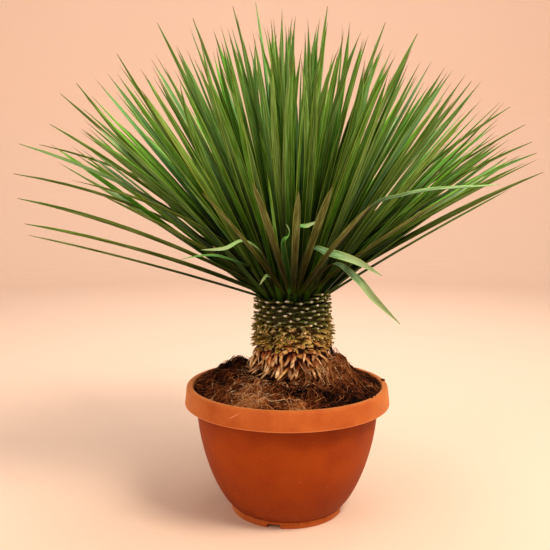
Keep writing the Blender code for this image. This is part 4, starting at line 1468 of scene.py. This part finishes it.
# %% [markdown]
# ### Younger leaves
#
# Between the full-grown leaves stand younger ones, 0.3 to 0.5 m long, which fill the heart of the head. A
# few short low ones and a tuft on each side close its outline. They are the same blades with other
# numbers, so the functions above make them too. Thinning out and scaling the spiral would also give short
# leaves, but they would be narrower as well, which real ones are not.

# %% Younger leaves
YOUNG_COUNT = 46
YOUNG_SEED = 31
YOUNG_LENGTHS = (0.30, 0.50)
SHORT_LOW_LEAVES = (
    # as the edge leaves
    (204, 29.9, 0.464, 0.121, -0.50, 0.20, 0.10, 0.0),
    (198, 25.0, 0.441, 0.110, -0.50, 0.20, 0.10, 0.0),
    (206, 46.4, 0.457, 0.329, -0.30, 0.10, 0.30, 0.0),
    (206, 33.7, 0.429, 0.071, -0.30, -0.10, 0.15, 0.0),
)
SIDE_TUFTS = (
    # direction from above, lowest and highest rise in degrees, leaves
    (-4, 35, 46, 13),
    (183, 40, 46, 3),
)

chance = random.Random(YOUNG_SEED)
young = Gatherer()
for i in range(YOUNG_COUNT):
    angle = (i + 0.5) * GOLDEN_ANGLE + 0.7
    root_rise, rise = rises(0.06 + 0.94 * i / YOUNG_COUNT, angle)
    sag = chance.uniform(0, 0.05) * math.cos(rise)
    length = chance.uniform(*YOUNG_LENGTHS)
    lean, swing = chance.gauss(0, 0.04), chance.gauss(0, 0.08)
    path, side = arched(angle, root_rise, rise, length, sag, lean, swing)
    roll, twist = random_turns(chance)
    blade(young, path, side, roll, twist, tone=chance.random(), brown=0.0, pale=0.0, inner=1.0)
# The brown numbers here paint the undersides browner, as shade and warm light from below.
for row in SHORT_LOW_LEAVES:
    chosen_leaf(young, row, 0.5)
for middle, low_rise, high_rise, count in SIDE_TUFTS:
    for i in range(count):
        angle = math.radians(middle + chance.uniform(-20, 20))
        rise = math.radians(low_rise + (high_rise - low_rise) * (i + 0.5) / count)
        length, sag = chance.uniform(0.495, 0.530), chance.uniform(0.02, 0.10)
        path, side = arched(angle, rise, rise, length, sag, chance.gauss(0, 0.02))
        roll, twist = random_turns(chance)
        values = {"tone": 0.2 + 0.6 * chance.random(), "brown": 0.3, "pale": 0.0, "inner": 0.3}
        blade(young, path, side, roll, twist, **values)
young.make("young_leaves", living, "yucca_leaf")

# %% [markdown]
# ### Bent and broken leaves
#
# Some front leaves are folded over or snapped off, and a snapped end dries pale and curls. Each is a
# ribbon through a few given places, with the way that its upper face looks at each of them, since
# a fold turns the face as much as the midline.

# %% Bent and broken leaves
BENT_LEAVES = (
    # where it pales, its tone, and for places past the crown:
    # the place, the way that the upper face looks, and the width
    (0.60, 0.76, (
        (0.032, -0.200, 0.511, 0.0, -0.1, 1.0, 0.0115),
        (0.066, -0.220, 0.511, -0.1, -0.9, 0.6, 0.0140),
        (0.110, -0.240, 0.498, -0.2, -0.9, 0.5, 0.0120),
        (0.149, -0.250, 0.476, -0.2, -0.9, 0.5, 0.0010),
    )),
    (0.55, 0.80, (
        (0.074, -0.160, 0.486, -0.1, -0.1, 1.0, 0.0100),
        (0.116, -0.190, 0.465, -0.4, -0.8, 0.5, 0.0125),
        (0.143, -0.205, 0.434, -0.5, -0.8, 0.3, 0.0115),
        (0.185, -0.215, 0.392, -0.5, -0.8, 0.3, 0.0010),
    )),
    (0.72, 0.86, (
        (-0.025, -0.080, 0.455, 0.5, 0.1, 0.9, 0.0120),
        (-0.050, -0.125, 0.505, 0.5, -0.3, 0.8, 0.0110),
        (-0.080, -0.155, 0.527, 0.0, -0.6, 0.8, 0.0080),
        (-0.110, -0.175, 0.515, -0.3, -0.8, 0.5, 0.0080),
        (-0.150, -0.190, 0.514, -0.3, -0.8, 0.5, 0.0010),
    )),
    (0.70, 0.62, (
        (0.010, -0.130, 0.490, 0.1, 0.4, 0.9, 0.0110),
        (0.0101, -0.200, 0.548, -0.2, -0.5, 0.8, 0.0060),
        (0.0303, -0.200, 0.5552, -0.2, -0.9, 0.4, 0.0075),
        (0.0506, -0.200, 0.5636, -0.2, -0.9, 0.4, 0.0010),
    )),
    (0.74, 0.55, (
        (0.006, -0.075, 0.430, 0.0, -1.0, 0.4, 0.0125),
        (-0.0096, -0.150, 0.5183, 0.1, -0.9, 0.5, 0.0090),
        (-0.0008, -0.150, 0.5359, 0.6, -0.7, 0.3, 0.0030),
        (0.0009, -0.150, 0.5464, 0.9, -0.3, 0.2, 0.0026),
        (-0.0043, -0.150, 0.5570, 0.5, -0.8, 0.2, 0.0010),
    )),
    (0.62, 0.86, (
        (-0.0347, -0.100, 0.4583, 0.2, -0.6, 0.8, 0.0070),
        (-0.0439, -0.100, 0.4547, -0.3, -0.9, 0.2, 0.0050),
        (-0.0512, -0.100, 0.4437, -0.7, -0.7, 0.1, 0.0020),
    )),
    (1.00, 0.60, (
        (-0.060, -0.060, 0.465, 0.4, -0.5, 0.8, 0.0080),
        (-0.1193, -0.120, 0.4966, 0.0, -0.7, 0.7, 0.0055),
        (-0.1590, -0.120, 0.4984, 0.0, -0.8, 0.6, 0.0040),
        (-0.1933, -0.120, 0.4920, 0.0, -0.8, 0.6, 0.0010),
    )),
    (1.00, 0.84, (
        (0.0750, -0.080, 0.4900, 0.2, -0.5, 0.8, 0.0085),
        (0.1422, -0.170, 0.5860, 0.0, -0.5, 0.9, 0.0105),
        (0.1946, -0.175, 0.6062, 0.0, -0.5, 0.9, 0.0110),
        (0.2424, -0.180, 0.6163, 0.0, -0.5, 0.9, 0.0110),
        (0.2913, -0.190, 0.6204, 0.0, -0.5, 0.9, 0.0085),
        (0.3338, -0.190, 0.6229, 0.0, -0.5, 0.9, 0.0050),
        (0.3594, -0.190, 0.6263, 0.0, -0.5, 0.9, 0.0010),
    )),
)
RIBBON_STEPS = 28
RIBBON_THICKNESS = 0.0016
LEAST_WIDTH = 0.0009
PALES_OVER = 0.06


def ribbon(gatherer, pales_at, places, tone):
    """A leaf through given places, whose upper face looks the given way at each."""
    points = [CROWN_CENTRE] + [Vector(place[:3]) for place in places]
    points[0] = CROWN_CENTRE.lerp(points[1], LEAF_ROOT / (points[1] - CROWN_CENTRE).length)
    facings = [Vector((0, 0, 1))] + [Vector(place[3:6]) for place in places]
    widths = [Vector((width, 0, 0)) for width in (LEAF_ROOT_WIDTH, *(place[6] for place in places))]
    rings = []
    shares = [k / RIBBON_STEPS for k in range(RIBBON_STEPS + 1)]
    for share in shares:
        ahead, behind = min(share + SLOPE_STEP, 1), max(share - SLOPE_STEP, 0)
        along = (smooth_path(points, ahead) - smooth_path(points, behind)).normalized()
        across = along.cross(smooth_path(facings, share)).normalized()
        width = max(smooth_path(widths, share).x, LEAST_WIDTH)
        slim = min(1, width / LEAF_WIDTH + 0.1)
        thickness, channel = RIBBON_THICKNESS * slim, CHANNEL_DEPTH * slim
        up = across.cross(along)
        rings.append(leaf_ring(smooth_path(points, share), across, up, width, thickness, channel))
    pale = [held(0, (share - pales_at) / PALES_OVER, 1) for share in shares]
    marks = {"along": shares, "across": [list(ACROSS)] * len(shares), "tone": tone, "pale": pale}
    # The brown number paints their undersides browner, as shade and warm light from below.
    gatherer.loft(rings, {"under": IS_UNDER}, brown=0.9, inner=0.0, **marks)


bent = Gatherer()
for pales_at, tone, places in BENT_LEAVES:
    ribbon(bent, pales_at, places, tone)
bent.make("bent_leaves", living, "yucca_leaf")

# %% [markdown]
# ### Crown
#
# The leaves grow from a dome at the top of the stem and hide it. It closes the view down into the trunk,
# so a plain dome of rings in the trunk's own finish is enough. A sphere would do as well, but its lower
# half would lie unused inside the stem.

# %% Crown
CROWN_RADIUS = 0.066
CROWN_RINGS = 9
CROWN_STEPS = 48
UNDER_ROOTS = 0.012

crown = Gatherer()
crown_rings = []
lowest = math.asin((STEM_TOP - CROWN_CENTRE.z) / CROWN_RADIUS)
for k in range(CROWN_RINGS):
    rise = lowest + (math.pi / 2 - lowest) * k / CROWN_RINGS
    height = CROWN_CENTRE.z + CROWN_RADIUS * math.sin(rise)
    crown_rings.append(circle(CROWN_RADIUS * math.cos(rise) - UNDER_ROOTS, height, CROWN_STEPS, STEM_X))
crown_rings.append(circle(0, CROWN_CENTRE.z + CROWN_RADIUS - UNDER_ROOTS, 1, STEM_X))
# An out share of 0 has the finish paint the dome dark, as shade under the leaves.
crown.loft(crown_rings, tone=0.2, out=0.0, cut_face=0.0, edge=0.0)
crown.make("growing_crown", bark, "yucca_leaf")

# %% [markdown]
# ## Sizes
#
# A dressed part keeps the size of its solids. Reading a size off a picture would not show a few
# millimetres, so the box of the solids is taken when they are loaded, and the box of this model is printed
# here, in metres.

# %% Sizes
low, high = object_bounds()
print("model box:", [round(v, 4) for v in low], [round(v, 4) for v in high])
